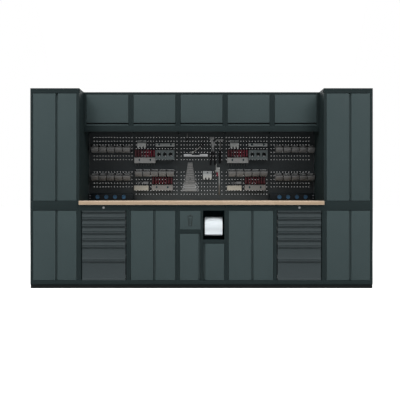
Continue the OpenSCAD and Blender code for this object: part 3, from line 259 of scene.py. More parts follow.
def coatGroup():
    # powder coat and moulded plastic: a slow cloud of tone, fine grain and uneven gloss
    tree, given, out = newGroup(
        "coatGrain",
        [("Colour", "Color", (0.5, 0.5, 0.5, 1)), ("Shade", "Color", (0.4, 0.4, 0.4, 1)),
         ("Cloud", "Float", 3.0), ("Grain", "Float", 900.0),
         ("Gloss low", "Float", 0.4), ("Gloss high", "Float", 0.5)],
        [("Colour", "Color"), ("Roughness", "Float"), ("Height", "Float")])
    place = objectPlace(tree)
    cloud = spread(tree, noise(tree, place, given.outputs["Cloud"], 4, 0.55), 0.3, 0.7, 0.0, 1.0)
    tone = mixColour(tree, cloud, given.outputs["Shade"], given.outputs["Colour"])
    grain = noise(tree, place, given.outputs["Grain"], 2, 0.6)
    speck = spread(tree, grain, 0.35, 0.65, 0.9, 1.1)
    grey = put(tree, "ShaderNodeCombineColor")
    for socket in grey.inputs[:3]:
        tree.links.new(speck, socket)
    tree.links.new(mixColour(tree, 1.0, tone, grey.outputs[0], "MULTIPLY"), out.inputs["Colour"])
    smear = noise(tree, objectPlace(tree, (9, 9, 4)), 1.0, 5, 0.6)
    tree.links.new(spread(tree, smear, 0.3, 0.7, given.outputs["Gloss low"], given.outputs["Gloss high"]),
                   out.inputs["Roughness"])
    tree.links.new(grain, out.inputs["Height"])
    return tree


def rubGroup():
    # folded edges, marked on the mesh, where the coat is thin and polished; on the holders the same mark carries a
    # painted highlight
    tree, given, out = newGroup(
        "edgeRubAndHighlight",
        [("Colour", "Color", (0.5, 0.5, 0.5, 1)), ("Rubbed", "Color", (0.6, 0.6, 0.6, 1)), ("Amount", "Float", 0.5)],
        [("Colour", "Color")])
    mark = put(tree, "ShaderNodeAttribute", attribute_name="rub")
    breakUp = spread(tree, noise(tree, objectPlace(tree), 38.0, 5, 0.65), 0.35, 0.6, 0.25, 1.0)
    mask = math2(tree, "MULTIPLY", math2(tree, "MULTIPLY", mark.outputs["Fac"], breakUp), given.outputs["Amount"])
    tree.links.new(mixColour(tree, mask, given.outputs["Colour"], given.outputs["Rubbed"]), out.inputs["Colour"])
    return tree


def staveGroup():
    # solid wood in glued staves along X, with finger joints, fibres and small dark flecks
    tree, given, out = newGroup(
        "gluedStaves",
        [("Pale", "Color", (0.6, 0.45, 0.3, 1)), ("Deep", "Color", (0.4, 0.3, 0.2, 1)),
         ("Stave width", "Float", 0.042), ("Stave length", "Float", 0.48)],
        [("Colour", "Color"), ("Roughness", "Float"), ("Height", "Float")])
    where = put(tree, "ShaderNodeTexCoord")
    split = put(tree, "ShaderNodeSeparateXYZ")
    tree.links.new(where.outputs["Object"], split.inputs[0])
    across = math2(tree, "DIVIDE", split.outputs["Y"], given.outputs["Stave width"])
    row = math2(tree, "FLOOR", across)
    rowRandom = put(tree, "ShaderNodeTexWhiteNoise", noise_dimensions="1D")
    tree.links.new(row, rowRandom.inputs["W"])
    along = math2(tree, "ADD", math2(tree, "DIVIDE", split.outputs["X"], given.outputs["Stave length"]),
                  math2(tree, "MULTIPLY", rowRandom.outputs["Value"], 7.0))
    cell = put(tree, "ShaderNodeCombineXYZ")
    tree.links.new(math2(tree, "FLOOR", along), cell.inputs[0])
    tree.links.new(row, cell.inputs[1])
    staveRandom = put(tree, "ShaderNodeTexWhiteNoise", noise_dimensions="2D")
    tree.links.new(cell.outputs[0], staveRandom.inputs["Vector"])
    shift = math2(tree, "MULTIPLY", staveRandom.outputs["Value"], 13.0)

    def fibres(stretch, detail):
        run = put(tree, "ShaderNodeCombineXYZ")
        drawn = math2(tree, "MULTIPLY", split.outputs["X"], stretch[0])
        tree.links.new(math2(tree, "ADD", drawn, shift), run.inputs[0])
        tree.links.new(math2(tree, "MULTIPLY", split.outputs["Y"], stretch[1]), run.inputs[1])
        tree.links.new(math2(tree, "MULTIPLY", split.outputs["Z"], stretch[2]), run.inputs[2])
        return noise(tree, run.outputs[0], 1.0, detail, 0.6)

    broad = spread(tree, fibres((2.2, 45, 45), 4), 0.3, 0.7, 0.0, 1.0)
    fine = fibres((30, 700, 700), 3)
    fleck = spread(tree, fibres((110, 520, 520), 1), 0.66, 0.72, 0.0, 1.0)
    tone = math2(tree, "ADD", math2(tree, "MULTIPLY", staveRandom.outputs["Value"], 0.55),
                 math2(tree, "MULTIPLY", broad, 0.45))
    colour = mixColour(tree, tone, given.outputs["Pale"], given.outputs["Deep"])
    colour = mixColour(tree, math2(tree, "MULTIPLY", fleck, 0.3), colour, given.outputs["Deep"])

    def seam(value, width):
        fraction = math2(tree, "FRACT", value)
        edge = math2(tree, "MINIMUM", fraction, math2(tree, "SUBTRACT", 1.0, fraction))
        return spread(tree, edge, 0.0, width, 1.0, 0.0)

    joint = math2(tree, "MAXIMUM", seam(across, 0.02), seam(along, 0.0018))
    colour = mixColour(tree, math2(tree, "MULTIPLY", joint, 0.35), colour, (0.16, 0.1, 0.06, 1))
    tree.links.new(colour, out.inputs["Colour"])
    tree.links.new(spread(tree, fine, 0.3, 0.7, 0.42, 0.58), out.inputs["Roughness"])
    tree.links.new(math2(tree, "SUBTRACT", fine, math2(tree, "MULTIPLY", joint, 0.8)), out.inputs["Height"])
    return tree


def satinGroup():
    # ground and plated steel: short streaks and a slow change of gloss
    tree, given, out = newGroup(
        "satinSteel",
        [("Colour", "Color", (0.6, 0.6, 0.6, 1)), ("Shade", "Color", (0.4, 0.4, 0.4, 1)),
         ("Gloss low", "Float", 0.25), ("Gloss high", "Float", 0.4)],
        [("Colour", "Color"), ("Roughness", "Float"), ("Height", "Float")])
    streak = noise(tree, objectPlace(tree, (60, 900, 900)), 1.0, 3, 0.6)
    cloud = noise(tree, objectPlace(tree), 22.0, 4, 0.6)
    tone = spread(tree, math2(tree, "ADD", math2(tree, "MULTIPLY", streak, 0.5), math2(tree, "MULTIPLY", cloud, 0.5)),
                  0.35, 0.65, 0.0, 1.0)
    tree.links.new(mixColour(tree, tone, given.outputs["Shade"], given.outputs["Colour"]), out.inputs["Colour"])
    tree.links.new(spread(tree, cloud, 0.3, 0.7, given.outputs["Gloss low"], given.outputs["Gloss high"]),
                   out.inputs["Roughness"])
    tree.links.new(streak, out.inputs["Height"])
    return tree


groups = {"coat": coatGroup(), "rub": rubGroup(), "staves": staveGroup(), "satin": satinGroup()}
print("shader groups:", ", ".join(groups))

# Materials


def startMaterial(name, bumpStrength, bumpDepth):
    material = bpy.data.materials.new(name)
    material.use_nodes = True
    tree = material.node_tree
    surface = tree.nodes["Principled BSDF"]
    bump = put(tree, "ShaderNodeBump")
    bump.inputs["Strength"].default_value = bumpStrength
    bump.inputs["Distance"].default_value = bumpDepth
    tree.links.new(bump.outputs["Normal"], surface.inputs["Normal"])
    return material, tree, surface, bump


def placeGroup(tree, group, **values):
    made = put(tree, "ShaderNodeGroup", node_tree=groups[group])
    for label, value in values.items():
        made.inputs[label.replace("_", " ")].default_value = value
    return made


def rgb(red, green, blue):
    return (red, green, blue, 1)


def darker(colour, factor):
    return (colour[0] * factor, colour[1] * factor, colour[2] * factor, 1)


def coatMaterial(look):
    material, tree, surface, bump = startMaterial(look["name"], 0.12, 0.0002)
    coat = placeGroup(tree, "coat", Colour=look["colour"], Shade=darker(look["colour"], look.get("shade", 0.88)),
                      Cloud=2.5, Grain=look.get("grain", 900.0),
                      Gloss_low=look["gloss"][0], Gloss_high=look["gloss"][1])
    rub = placeGroup(tree, "rub", Rubbed=look.get("rubbedAndHighlight", darker(look["colour"], 1.6)),
                     Amount=look.get("rubAndHighlightAmount", 0.5))
    tree.links.new(coat.outputs["Colour"], rub.inputs["Colour"])
    tree.links.new(rub.outputs["Colour"], surface.inputs["Base Color"])
    tree.links.new(coat.outputs["Roughness"], surface.inputs["Roughness"])
    tree.links.new(coat.outputs["Height"], bump.inputs["Height"])
    surface.inputs["Specular IOR Level"].default_value = look.get("specular", 0.25)
    return material


def steelMaterial(look):
    material, tree, surface, bump = startMaterial(look["name"], 0.05, 0.0002)
    satin = placeGroup(tree, "satin", Colour=look["colour"], Shade=darker(look["colour"], 0.8),
                       Gloss_low=look["gloss"][0], Gloss_high=look["gloss"][1])
    tree.links.new(satin.outputs["Colour"], surface.inputs["Base Color"])
    tree.links.new(satin.outputs["Roughness"], surface.inputs["Roughness"])
    tree.links.new(satin.outputs["Height"], bump.inputs["Height"])
    surface.inputs["Metallic"].default_value = 1.0
    return material


def woodMaterial(look):
    material, tree, surface, bump = startMaterial(look["name"], 0.18, 0.0003)
    staves = placeGroup(tree, "staves", Pale=look["pale"], Deep=look["deep"],
                        Stave_width=look["staveWidth"], Stave_length=look["staveLength"])
    rub = placeGroup(tree, "rub", Rubbed=look["sanded"], Amount=0.9)
    tree.links.new(staves.outputs["Colour"], rub.inputs["Colour"])
    tree.links.new(rub.outputs["Colour"], surface.inputs["Base Color"])
    tree.links.new(staves.outputs["Roughness"], surface.inputs["Roughness"])
    tree.links.new(staves.outputs["Height"], bump.inputs["Height"])
    surface.inputs["Specular IOR Level"].default_value = 0.3
    return material


def paperMaterial(look):
    # soft creped paper: an embossed dimple pattern and wound edges at the ends of the roll
    material, tree, surface, bump = startMaterial(look["name"], 0.35, 0.0006)
    axis = objectPlace(tree, (1, 1, 1), tuple(-c for c in look["axis"]))
    split = put(tree, "ShaderNodeSeparateXYZ")
    tree.links.new(axis, split.inputs[0])
    radius = math2(tree, "SQRT", math2(tree, "ADD", math2(tree, "POWER", split.outputs["Y"], 2.0),
                                       math2(tree, "POWER", split.outputs["Z"], 2.0)))
    layers = put(tree, "ShaderNodeCombineXYZ")
    tree.links.new(math2(tree, "MULTIPLY", radius, look["layers"]), layers.inputs[0])
    wound = noise(tree, layers.outputs[0], 1.0, 2, 0.7)
    dimple = put(tree, "ShaderNodeTexVoronoi")
    dimple.inputs["Scale"].default_value = look["dimples"]
    tree.links.new(objectPlace(tree), dimple.inputs["Vector"])
    normal = put(tree, "ShaderNodeNewGeometry")
    face = put(tree, "ShaderNodeSeparateXYZ")
    tree.links.new(normal.outputs["True Normal"], face.inputs[0])
    endFace = spread(tree, math2(tree, "ABSOLUTE", face.outputs["X"]), 0.6, 0.9, 0.0, 1.0)
    shade = math2(tree, "MULTIPLY", endFace, spread(tree, wound, 0.35, 0.65, 0.35, 0.0))
    tree.links.new(mixColour(tree, shade, look["colour"], look["shade"]), surface.inputs["Base Color"])
    height = math2(tree, "ADD", math2(tree, "MULTIPLY", dimple.outputs["Distance"], 0.8),
                   math2(tree, "MULTIPLY", wound, endFace))
    tree.links.new(height, bump.inputs["Height"])
    surface.inputs["Roughness"].default_value = 0.95
    surface.inputs["Specular IOR Level"].default_value = 0.1
    return material


looks = {
    "door": {"name": "doorCoat", "colour": rgb(0.047, 0.068, 0.07), "gloss": (0.5, 0.62), "shade": 0.95,
             "specular": 0.12},
    "drawer": {"name": "drawerCoat", "colour": rgb(0.0405, 0.052, 0.055), "gloss": (0.46, 0.58), "shade": 0.95,
               "specular": 0.12},
    "frame": {"name": "frameCoat", "colour": rgb(0.016, 0.025, 0.026), "gloss": (0.5, 0.62), "specular": 0.08},
    "inside": {"name": "insideCoat", "colour": rgb(0.018, 0.026, 0.027), "gloss": (0.5, 0.65)},
    "plinth": {"name": "plinthCoat", "colour": rgb(0.0105, 0.0125, 0.0125), "gloss": (0.55, 0.7), "specular": 0.06},
    "panel": {"name": "panelCoat", "colour": rgb(0.027, 0.031, 0.033), "gloss": (0.5, 0.65), "specular": 0.06},
    # painted shade: the dark coat in the grooves of the flaps
    "groove": {"name": "grooveCoat", "colour": rgb(0.015, 0.018, 0.019), "gloss": (0.6, 0.7), "specular": 0.02},
    "niche": {"name": "nicheCoat", "colour": rgb(0.009, 0.026, 0.032), "gloss": (0.6, 0.7), "specular": 0.02},
    # painted light: rails and holders of the racks are lighter than the rack plates, against the pelmet's shade
    "rack": {"name": "rackCoat", "colour": rgb(0.32, 0.34, 0.34), "gloss": (0.4, 0.55), "shade": 0.9},
    "rackPlate": {"name": "rackPlateCoat", "colour": rgb(0.228, 0.23, 0.228), "gloss": (0.4, 0.55), "shade": 0.9},
    # painted shade: the low rack plates are a darker copy of the plate coat, against the bench glow
    "rackLow": {"name": "rackLowCoat", "colour": rgb(0.114, 0.112, 0.11), "gloss": (0.4, 0.55), "shade": 0.9},
    "tower": {"name": "towerCoat", "colour": rgb(0.16, 0.164, 0.164), "gloss": (0.4, 0.55), "shade": 0.9},
    # painted highlight: the holders' rounded edges are painted much lighter
    "holder": {"name": "holderCoat", "colour": rgb(0.06, 0.075, 0.078), "gloss": (0.4, 0.55), "shade": 0.9,
               "rubbedAndHighlight": rgb(0.2, 0.22, 0.22), "rubAndHighlightAmount": 0.9},
    "cream": {"name": "creamPlastic", "colour": rgb(0.208, 0.202, 0.176), "gloss": (0.35, 0.5), "shade": 0.94},
    "bin": {"name": "binPlastic", "colour": rgb(0.12, 0.123, 0.125), "gloss": (0.35, 0.5), "shade": 0.9,
            "grain": 420.0},
    # painted shade: the dark inside of the bins
    "binInsideShade": {"name": "binInsideShade", "colour": rgb(0.025, 0.026, 0.027), "gloss": (0.5, 0.6)},
    # painted highlight: the rim along the back of the bins
    "binRimHighlight": {"name": "binRimHighlight", "colour": rgb(0.25, 0.255, 0.255), "gloss": (0.35, 0.5), "grain": 420.0},
    "wasteBin": {"name": "wasteBinPlastic", "colour": rgb(0.012, 0.013, 0.014), "gloss": (0.4, 0.55)},
    "strip": {"name": "stripPlastic", "colour": rgb(0.005, 0.007, 0.0085), "gloss": (0.35, 0.5), "specular": 0.1},
    "socket": {"name": "socketPlastic", "colour": rgb(0.018, 0.085, 0.17), "gloss": (0.3, 0.4)},
    "outlet": {"name": "outletPlastic", "colour": rgb(0.12, 0.13, 0.14), "gloss": (0.4, 0.5)},
    "red": {"name": "redGrip", "colour": rgb(0.105, 0.0025, 0.013), "gloss": (0.22, 0.32), "grain": 300.0},
    "darkRed": {"name": "darkRedGrip", "colour": rgb(0.042, 0.0015, 0.005), "gloss": (0.25, 0.35), "grain": 300.0},
    "rubber": {"name": "blackGrip", "colour": rgb(0.0035, 0.0035, 0.004), "gloss": (0.5, 0.65), "grain": 300.0,
               "specular": 0.08},
    "screw": {"name": "darkScrew", "colour": rgb(0.012, 0.014, 0.015), "gloss": (0.3, 0.4)},
    "mark": {"name": "markPaint", "colour": rgb(0.008, 0.012, 0.012), "gloss": (0.5, 0.6)},
    # painted shade: the darker wells of the sockets
    "socketWellShade": {"name": "socketWellShade", "colour": rgb(0.018, 0.075, 0.15), "gloss": (0.3, 0.4)},
    "card": {"name": "coreCard", "colour": rgb(0.35, 0.26, 0.17), "gloss": (0.8, 0.9), "grain": 600.0},
}
materials = {key: coatMaterial(look) for key, look in looks.items()}
steelLooks = {
    # dark steel; the screwdriver blades under the racks are painted this dark as a painted shade
    "blade": {"name": "bladeSteel", "colour": rgb(0.05, 0.052, 0.052), "gloss": (0.3, 0.45)},
    "spanner": {"name": "spannerSteel", "colour": rgb(0.1, 0.102, 0.102), "gloss": (0.35, 0.5)},
    "plier": {"name": "plierSteel", "colour": rgb(0.09, 0.092, 0.092), "gloss": (0.35, 0.5)},
    "caliper": {"name": "caliperSteel", "colour": rgb(0.15, 0.155, 0.15), "gloss": (0.3, 0.45)},
    "rule": {"name": "ruleSteel", "colour": rgb(0.25, 0.255, 0.26), "gloss": (0.3, 0.4)},
    "key": {"name": "keySteel", "colour": rgb(0.175, 0.18, 0.18), "gloss": (0.3, 0.4)},
    "zinc": {"name": "zincSteel", "colour": rgb(0.5, 0.52, 0.53), "gloss": (0.35, 0.5)},
    "chrome": {"name": "lockChrome", "colour": rgb(0.18, 0.19, 0.195), "gloss": (0.35, 0.45)},
}
materials.update({key: steelMaterial(look) for key, look in steelLooks.items()})
woodLook = {
    "name": "oiledBeech", "pale": rgb(0.575, 0.44, 0.31), "deep": rgb(0.425, 0.31, 0.205),
    "sanded": rgb(0.74, 0.6, 0.47), "staveWidth": 0.043, "staveLength": 0.52,
}
materials["wood"] = woodMaterial(woodLook)
print("materials:", len(materials))

# Tools for making pieces


def finishPiece(bm, name, finishes, body, replaced, smooth=35):
    mesh = bpy.data.meshes.new(name)
    bm.to_mesh(mesh)
    bm.free()
    for key in finishes:
        mesh.materials.append(materials[key])
    mesh.polygons.foreach_set("use_smooth", [True] * len(mesh.polygons))
    mesh.set_sharp_from_angle(angle=math.radians(smooth))
    piece = bpy.data.objects.new(name, mesh)
    scene.collection.objects.link(piece)
    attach(piece, body)
    if replaced:
        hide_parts(*replaced)


def mergedCopy(node):
    bm = bmesh.new()
    bm.from_mesh(nodes[node].data)
    bmesh.ops.remove_doubles(bm, verts=bm.verts, dist=copyWeld)
    bmesh.ops.dissolve_limit(bm, angle_limit=math.radians(1), verts=bm.verts, edges=bm.edges)
    return bm


def isCorner(edge, least=30):
    return len(edge.link_faces) == 2 and edge.calc_face_angle_signed(0) > math.radians(least)


def roundEdges(bm, edges, width, segments=2):
    rub = bm.faces.layers.float.get("rub") or bm.faces.layers.float.new("rub")
    made = bmesh.ops.bevel(bm, geom=edges, offset=width, offset_type="OFFSET", segments=segments, profile=0.5,
                           affect="EDGES", clamp_overlap=True, material=-1)
    for face in made["faces"]:
        face[rub] = 1.0


def onPlane(edge, y):
    return all(abs(v.co.y - y) < 0.0002 for v in edge.verts)


def faceFolds(bm, y):
    # the long edges round a face that looks forwards
    return [e for e in bm.edges if onPlane(e, y) and isCorner(e) and e.calc_length() > frontPlanes["shortest"]]


def frontCopy(node, y, width, finish):
    # a folded front: the edges of its face get the radius of the fold
    bm = mergedCopy(node)
    roundEdges(bm, faceFolds(bm, y), width)
    finishPiece(bm, node + "_shell", [finish], bodyOf[node], [node])


def inBox(face, low, high):
    centre = face.calc_center_median() / mm
    return all(a < value < b for a, value, b in zip(low, centre, high))


def softCopy(node, width, finish):
    bm = mergedCopy(node)
    roundEdges(bm, [e for e in bm.edges if isCorner(e)], width, 1)
    finishPiece(bm, node + "_shell", [finish], bodyOf[node], [node])


def repaint(node, finish):
    data = nodes[node].data
    data.materials.clear()
    data.materials.append(materials[finish])


def boxMesh(bm, low, high):
    low, high = Vector(low), Vector(high)
    made = bmesh.ops.create_cube(bm, size=1)["verts"]
    bmesh.ops.scale(bm, verts=made, vec=high - low)
    bmesh.ops.translate(bm, verts=made, vec=(low + high) / 2)
    return made


# Doors, flaps, drawers and cases

frontPlanes = {
    "floor": -0.2375, "overhead": -0.0305, "plinth": -0.2275,
    "fold": 1.6 * mm, "rail": 1.4 * mm, "shortest": 0.02,
}
doorNodes = [n for n in nodes if "_door" in n]
flapNodes = [n for n in nodes if n.startswith("overhead_flap")]
drawerNodes = [n for n in nodes if n.startswith("drawer_") and n[-1].isdigit()]
caseNodes = [n for n in nodes if n.endswith("_case")]

for node in doorNodes + ["waste_flap"]:
    frontCopy(node, frontPlanes["floor"], frontPlanes["fold"], "door")


flapGrooveShade = {"lip": 13, "height": 18, "behind": 3 * mm}


def flapCopy(node, look):
    # the groove over the pull lip is painted in a dark coat, a painted shade
    bm = mergedCopy(node)
    y, foot = frontPlanes["overhead"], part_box(node)[0][2] / mm
    roundEdges(bm, faceFolds(bm, y), frontPlanes["fold"])
    for face in bm.faces:
        place = face.calc_center_median()
        inGrooveShade = look["lip"] < place.z / mm - foot < look["lip"] + look["height"]
        face.material_index = int(inGrooveShade and place.y > y + look["behind"])
    finishPiece(bm, node + "_shell", ["door", "groove"], bodyOf[node], [node])


for node in flapNodes:
    flapCopy(node, flapGrooveShade)
for node in caseNodes:
    if node != "service_case":
        frontCopy(node, frontPlanes["floor"], frontPlanes["rail"], "frame")


paperNiche = {"low": (4, -212, 300), "high": (248.8, 100, 830)}


def serviceCopy(look):
    bm = mergedCopy("service_case")
    roundEdges(bm, faceFolds(bm, frontPlanes["floor"]), frontPlanes["rail"])
    for face in bm.faces:
        face.material_index = int(inBox(face, look["low"], look["high"]))
    finishPiece(bm, "service_case_shell", ["frame", "niche"], bodyOf["service_case"], ["service_case"])


serviceCopy(paperNiche)
frontCopy("overhead_cases", frontPlanes["overhead"], frontPlanes["rail"], "frame")
frontCopy("plinth", frontPlanes["plinth"], frontPlanes["rail"], "plinth")
print("fronts:", len(doorNodes), "doors,", len(flapNodes), "flaps,", len(caseNodes), "cases")

drawerFront = {"round": 1.1 * mm, "depth": 18.5 * mm, "shortest": 0.3}


def drawerCopy(node):
    bm = mergedCopy(node)
    limit = frontPlanes["floor"] + drawerFront["depth"]
    folds = [e for e in bm.edges if isCorner(e) and e.calc_length() > drawerFront["shortest"]
             and abs(e.verts[0].co.z - e.verts[1].co.z) < mm and abs(e.verts[0].co.y - e.verts[1].co.y) < mm
             and max(v.co.y for v in e.verts) < limit]
    roundEdges(bm, folds, drawerFront["round"])
    finishPiece(bm, node + "_shell", ["drawer"], bodyOf[node], [node])


for node in drawerNodes:
    drawerCopy(node)
print("drawers:", len(drawerNodes))

# Worktop

worktopBoard = {"nose": 7 * mm, "noseSteps": 5, "round": 2.5 * mm, "roundSteps": 2, "sharp": 60}


def makeWorktop(look):
    bm = bmesh.new()
    low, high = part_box("worktop")
    boxMesh(bm, low, high)
    nose = [e for e in bm.edges if all(v.co.y < low[1] + mm and v.co.z > high[2] - mm for v in e.verts)]
    roundEdges(bm, nose, look["nose"], look["noseSteps"])
    roundEdges(bm, [e for e in bm.edges if isCorner(e, look["sharp"])], look["round"], look["roundSteps"])
    finishPiece(bm, "worktopBoard", ["wood"], "cabinet", ["worktop"])


makeWorktop(worktopBoard)
print("worktop")

# Shapes that are made once and set in many places


def latheShape(profile, steps):
    # a profile of (radius, height) in mm, turned about Z
    bm = bmesh.new()
    points = [bm.verts.new((radius * mm, 0, height * mm)) for radius, height in profile]
    edges = [bm.edges.new(pair) for pair in zip(points, points[1:])]
    bmesh.ops.spin(bm, geom=points + edges, cent=(0, 0, 0), axis=(0, 0, 1), angle=2 * math.pi, steps=steps,
                   use_merge=True)
    bmesh.ops.remove_doubles(bm, verts=bm.verts, dist=spinWeld)
    bmesh.ops.recalc_face_normals(bm, faces=bm.faces)
    return bm


def prism(bm, outline, left, right):
    # an outline of (y, z) in mm, drawn out along X
    face = bm.faces.new([bm.verts.new((left * mm, y * mm, z * mm)) for y, z in outline])
    made = bmesh.ops.extrude_face_region(bm, geom=[face])["geom"]
    moved = [item for item in made if isinstance(item, bmesh.types.BMVert)]
    bmesh.ops.translate(bm, verts=moved, vec=((right - left) * mm, 0, 0))


def addShape(bm, shape, place, finish=None):
    copy = shape.copy()
    bmesh.ops.transform(copy, matrix=place, verts=copy.verts)
    if finish is not None:
        for face in copy.faces:
            face.material_index = finish
    holder = bpy.data.meshes.new("shapeCopy")
    copy.to_mesh(holder)
    copy.free()
    bm.from_mesh(holder)
    bpy.data.meshes.remove(holder)


def shifted(x, y, z):
    return Matrix.Translation(Vector((x, y, z)) * mm)


def turned(degrees, axis):
    return Matrix.Rotation(math.radians(degrees), 4, axis)


def islands(bm):
    # each group of joined faces with its lowest and highest corner in mm
    left = set(bm.faces)
    for start in bm.faces:
        if start not in left:
            continue
        left.remove(start)
        group, pending = [], [start]
        while pending:
            face = pending.pop()
            group.append(face)
            for edge in face.edges:
                for other in edge.link_faces:
                    if other in left:
                        left.remove(other)
                        pending.append(other)
        corners = [v.co / mm for f in group for v in f.verts]
        yield group, [min(c[i] for c in corners) for i in range(3)], [max(c[i] for c in corners) for i in range(3)]


# Screwdrivers in the racks

driverSet = {
    "racks": [(-627, 413), (-435, 111), (401, 413), (593, 111)],  # middle and height over the worktop
    "perRack": 8, "pitch": 29, "twist": 17, "depth": 214.2, "rackTop": 62.2, "highRack": 300,
    "profile": [(0, 0), (5.8, 0), (6.5, 0.8), (6.5, 6.4), (7.4, 7), (10, 13), (11.4, 20), (11, 32), (9.6, 48),
                (9.5, 56), (10.6, 68), (11.4, 76), (11, 81), (8.8, 84.6), (4.6, 85.8), (0, 86)],
    "steps": 24, "flutes": 6, "fluteDepth": 0.16, "fluteFrom": 10, "fluteTo": 80, "collar": 6.7,
    "darkInHighRack": 4,
}


def driverShape(look):
    bm = latheShape(look["profile"], look["steps"])
    for vert in bm.verts:
        if look["fluteFrom"] < vert.co.z / mm < look["fluteTo"]:
            wave = max(0.0, math.cos(look["flutes"] * math.atan2(vert.co.y, vert.co.x)))
            vert.co.xy *= 1 - look["fluteDepth"] * wave
    for face in bm.faces:
        face.material_index = 2 if face.calc_center_median().z / mm < look["collar"] else 0
    return bm


def driverHandles(look):
    bm = bmesh.new()
    bright = driverShape(look)
    dark = bright.copy()
    for face in dark.faces:
        face.material_index = max(1, face.material_index)
    for middle, height in look["racks"]:
        high = height > look["highRack"]
        for k in range(look["perRack"]):
            x = middle + (k - (look["perRack"] - 1) / 2) * look["pitch"]
            shape = bright if high and k >= look["darkInHighRack"] else dark
            place = shifted(x, look["depth"], worktopTop + height + look["rackTop"])
            addShape(bm, shape, place @ turned(look["twist"] * k, "Z"))
    bright.free()
    dark.free()
    finishPiece(bm, "driverHandles", ["red", "darkRed", "rubber"], "cabinet", ["tool_grips"], 40)


driverHandles(driverSet)
print("driver handles:", len(driverSet["racks"]) * driverSet["perRack"])

# Rubber grips of the pliers, snips, hammer and ratchet, and the caliper's knob

gripSet = {
    "pliers": {"pivot": (125, 232.2, 1495), "scale": 1.0},
    "snips": {"pivot": (-160, 232.2, 1607), "scale": 0.36},
    "plierGrip": {"length": 150, "radius": 9, "arm": 60.2, "spread": 6, "offset": 4.5, "ribs": 8},
    "hammer": {"foot": (204, 219.2, 1305), "length": 140, "radius": 13, "ribs": 9},
    "ratchet": {"head": (-100, 223.2, 1427), "tilt": 36, "start": 112.2, "length": 46, "radius": 9, "ribs": 5},
    "shank": [(0, 0), (4.5, 0), (6.6, 4), (6.9, 30), (6.2, 96), (7, 104), (7, 111), (6.4, 112), (0, 112)],
    "knob": {"low": (164.3, 225.2, 1163), "high": (184.3, 232.2, 1207), "round": 1.6},
    "steps": 20,
}


def gripShape(grip):
    long, wide, ribs = grip["length"], grip["radius"], grip["ribs"]
    profile = [(0, 0), (0.7 * wide, 0), (0.93 * wide, 0.02 * long), (wide, 0.06 * long)]
    ribFrom, ribStep = 0.1 * long, 0.5 * long / ribs
    for k in range(ribs):
        at = ribFrom + k * ribStep
        profile += [(wide, at), (0.9 * wide, at + 0.2 * ribStep), (0.9 * wide, at + 0.45 * ribStep),
                    (wide, at + 0.65 * ribStep)]
    profile += [(0.97 * wide, 0.7 * long), (0.86 * wide, 0.86 * long), (0.95 * wide, 0.95 * long),
                (0.8 * wide, long), (0, long)]
    return latheShape(profile, gripSet["steps"])


def rubberGrips(look):
    bm = bmesh.new()
    plier = look["plierGrip"]
    shape = gripShape(plier)
    for tool in (look["pliers"], look["snips"]):
        for side in (-1, 1):
            place = (shifted(*tool["pivot"]) @ Matrix.Scale(tool["scale"], 4) @ turned(-side * plier["spread"], "Y")
                     @ shifted(side * plier["offset"], -plier["radius"], -plier["arm"] - plier["length"]))
            addShape(bm, shape, place, 0)
    shape.free()
    shape = gripShape(look["hammer"])
    addShape(bm, shape, shifted(*look["hammer"]["foot"]), 0)
    shape.free()
    ratchet = look["ratchet"]
    shape = gripShape(ratchet)
    slant = shifted(*ratchet["head"]) @ turned(90 - ratchet["tilt"], "Y")
    addShape(bm, shape, slant @ shifted(0, 0, ratchet["start"]), 0)
    shape.free()
    finishPiece(bm, "rubberGrips", ["rubber"], "cabinet", ["tool_grips"], 40)
    bm = latheShape(look["shank"], look["steps"])
    bmesh.ops.transform(bm, matrix=slant, verts=bm.verts)
    finishPiece(bm, "ratchetShank", ["tower"], "cabinet", (), 40)
    bm = bmesh.new()
    boxMesh(bm, Vector(look["knob"]["low"]) * mm, Vector(look["knob"]["high"]) * mm)
    roundEdges(bm, bm.edges[:], look["knob"]["round"] * mm, 2)
    finishPiece(bm, "caliperKnob", ["red"], "cabinet", ["tool_grips"])


rubberGrips(gripSet)
print("grips")

# Racks, holders and hand tools: softened copies with a finish for each kind

rackFinish = {
    "round": 0.5 * mm,
    "finishes": ["rack", "holder", "cream", "rackPlate", "tower", "rackLow"],
    "plate": 3, "shadedLowPlate": 5, "lowTop": 1200,
    "sizes": [  # finish, then the axis and the span in mm that tell the kind
        (1, 2, 104, 108), (2, 1, 39, 41), (4, 2, 300, 340), (3, 0, 225, 240),
    ],
}


def finishRacks(look):
    bm = mergedCopy("tool_racks")
    roundEdges(bm, [e for e in bm.edges if isCorner(e)], look["round"], 1)
    for group, low, high in islands(bm):
        size = [b - a for a, b in zip(low, high)]
        # pieces of no listed size take the lighter rack coat, painted light
        finish = next((f for f, axis, least, most in look["sizes"] if least < size[axis] < most), 0)
        # plates of the low racks take the darker copy of the plate coat, a painted shade
        if finish == look["plate"] and high[2] < look["lowTop"]:
            finish = look["shadedLowPlate"]
        for face in group:
            face.material_index = finish
    finishPiece(bm, "rackPlates", look["finishes"], "cabinet", ["tool_racks"])


finishRacks(rackFinish)

steelKinds = {
    "round": 0.5 * mm,
    "finishes": ["blade", "spanner", "plier", "caliper", "rule", "key"],
    "fields": [  # finish, then left, right, foot and top in mm
        (1, -240, -20, 990, 1330), (4, -200, 72, 1368, 1412), (2, 60, 175, 1400, 1650), (2, -200, -120, 1550, 1680),
        (2, 160, 250, 1300, 1620), (3, 130, 210, 940, 1320), (3, -115, 20, 1412, 1540),
    ],
    "tower": -127, "towerHalf": 60, "towerLitBelow": 1050, "bright": 5,
    "keyBlocks": (-666, 362), "keyHalf": 82, "keyFoot": 1000, "keyTop": 1180, "foldingWide": 40, "folding": 1,
}


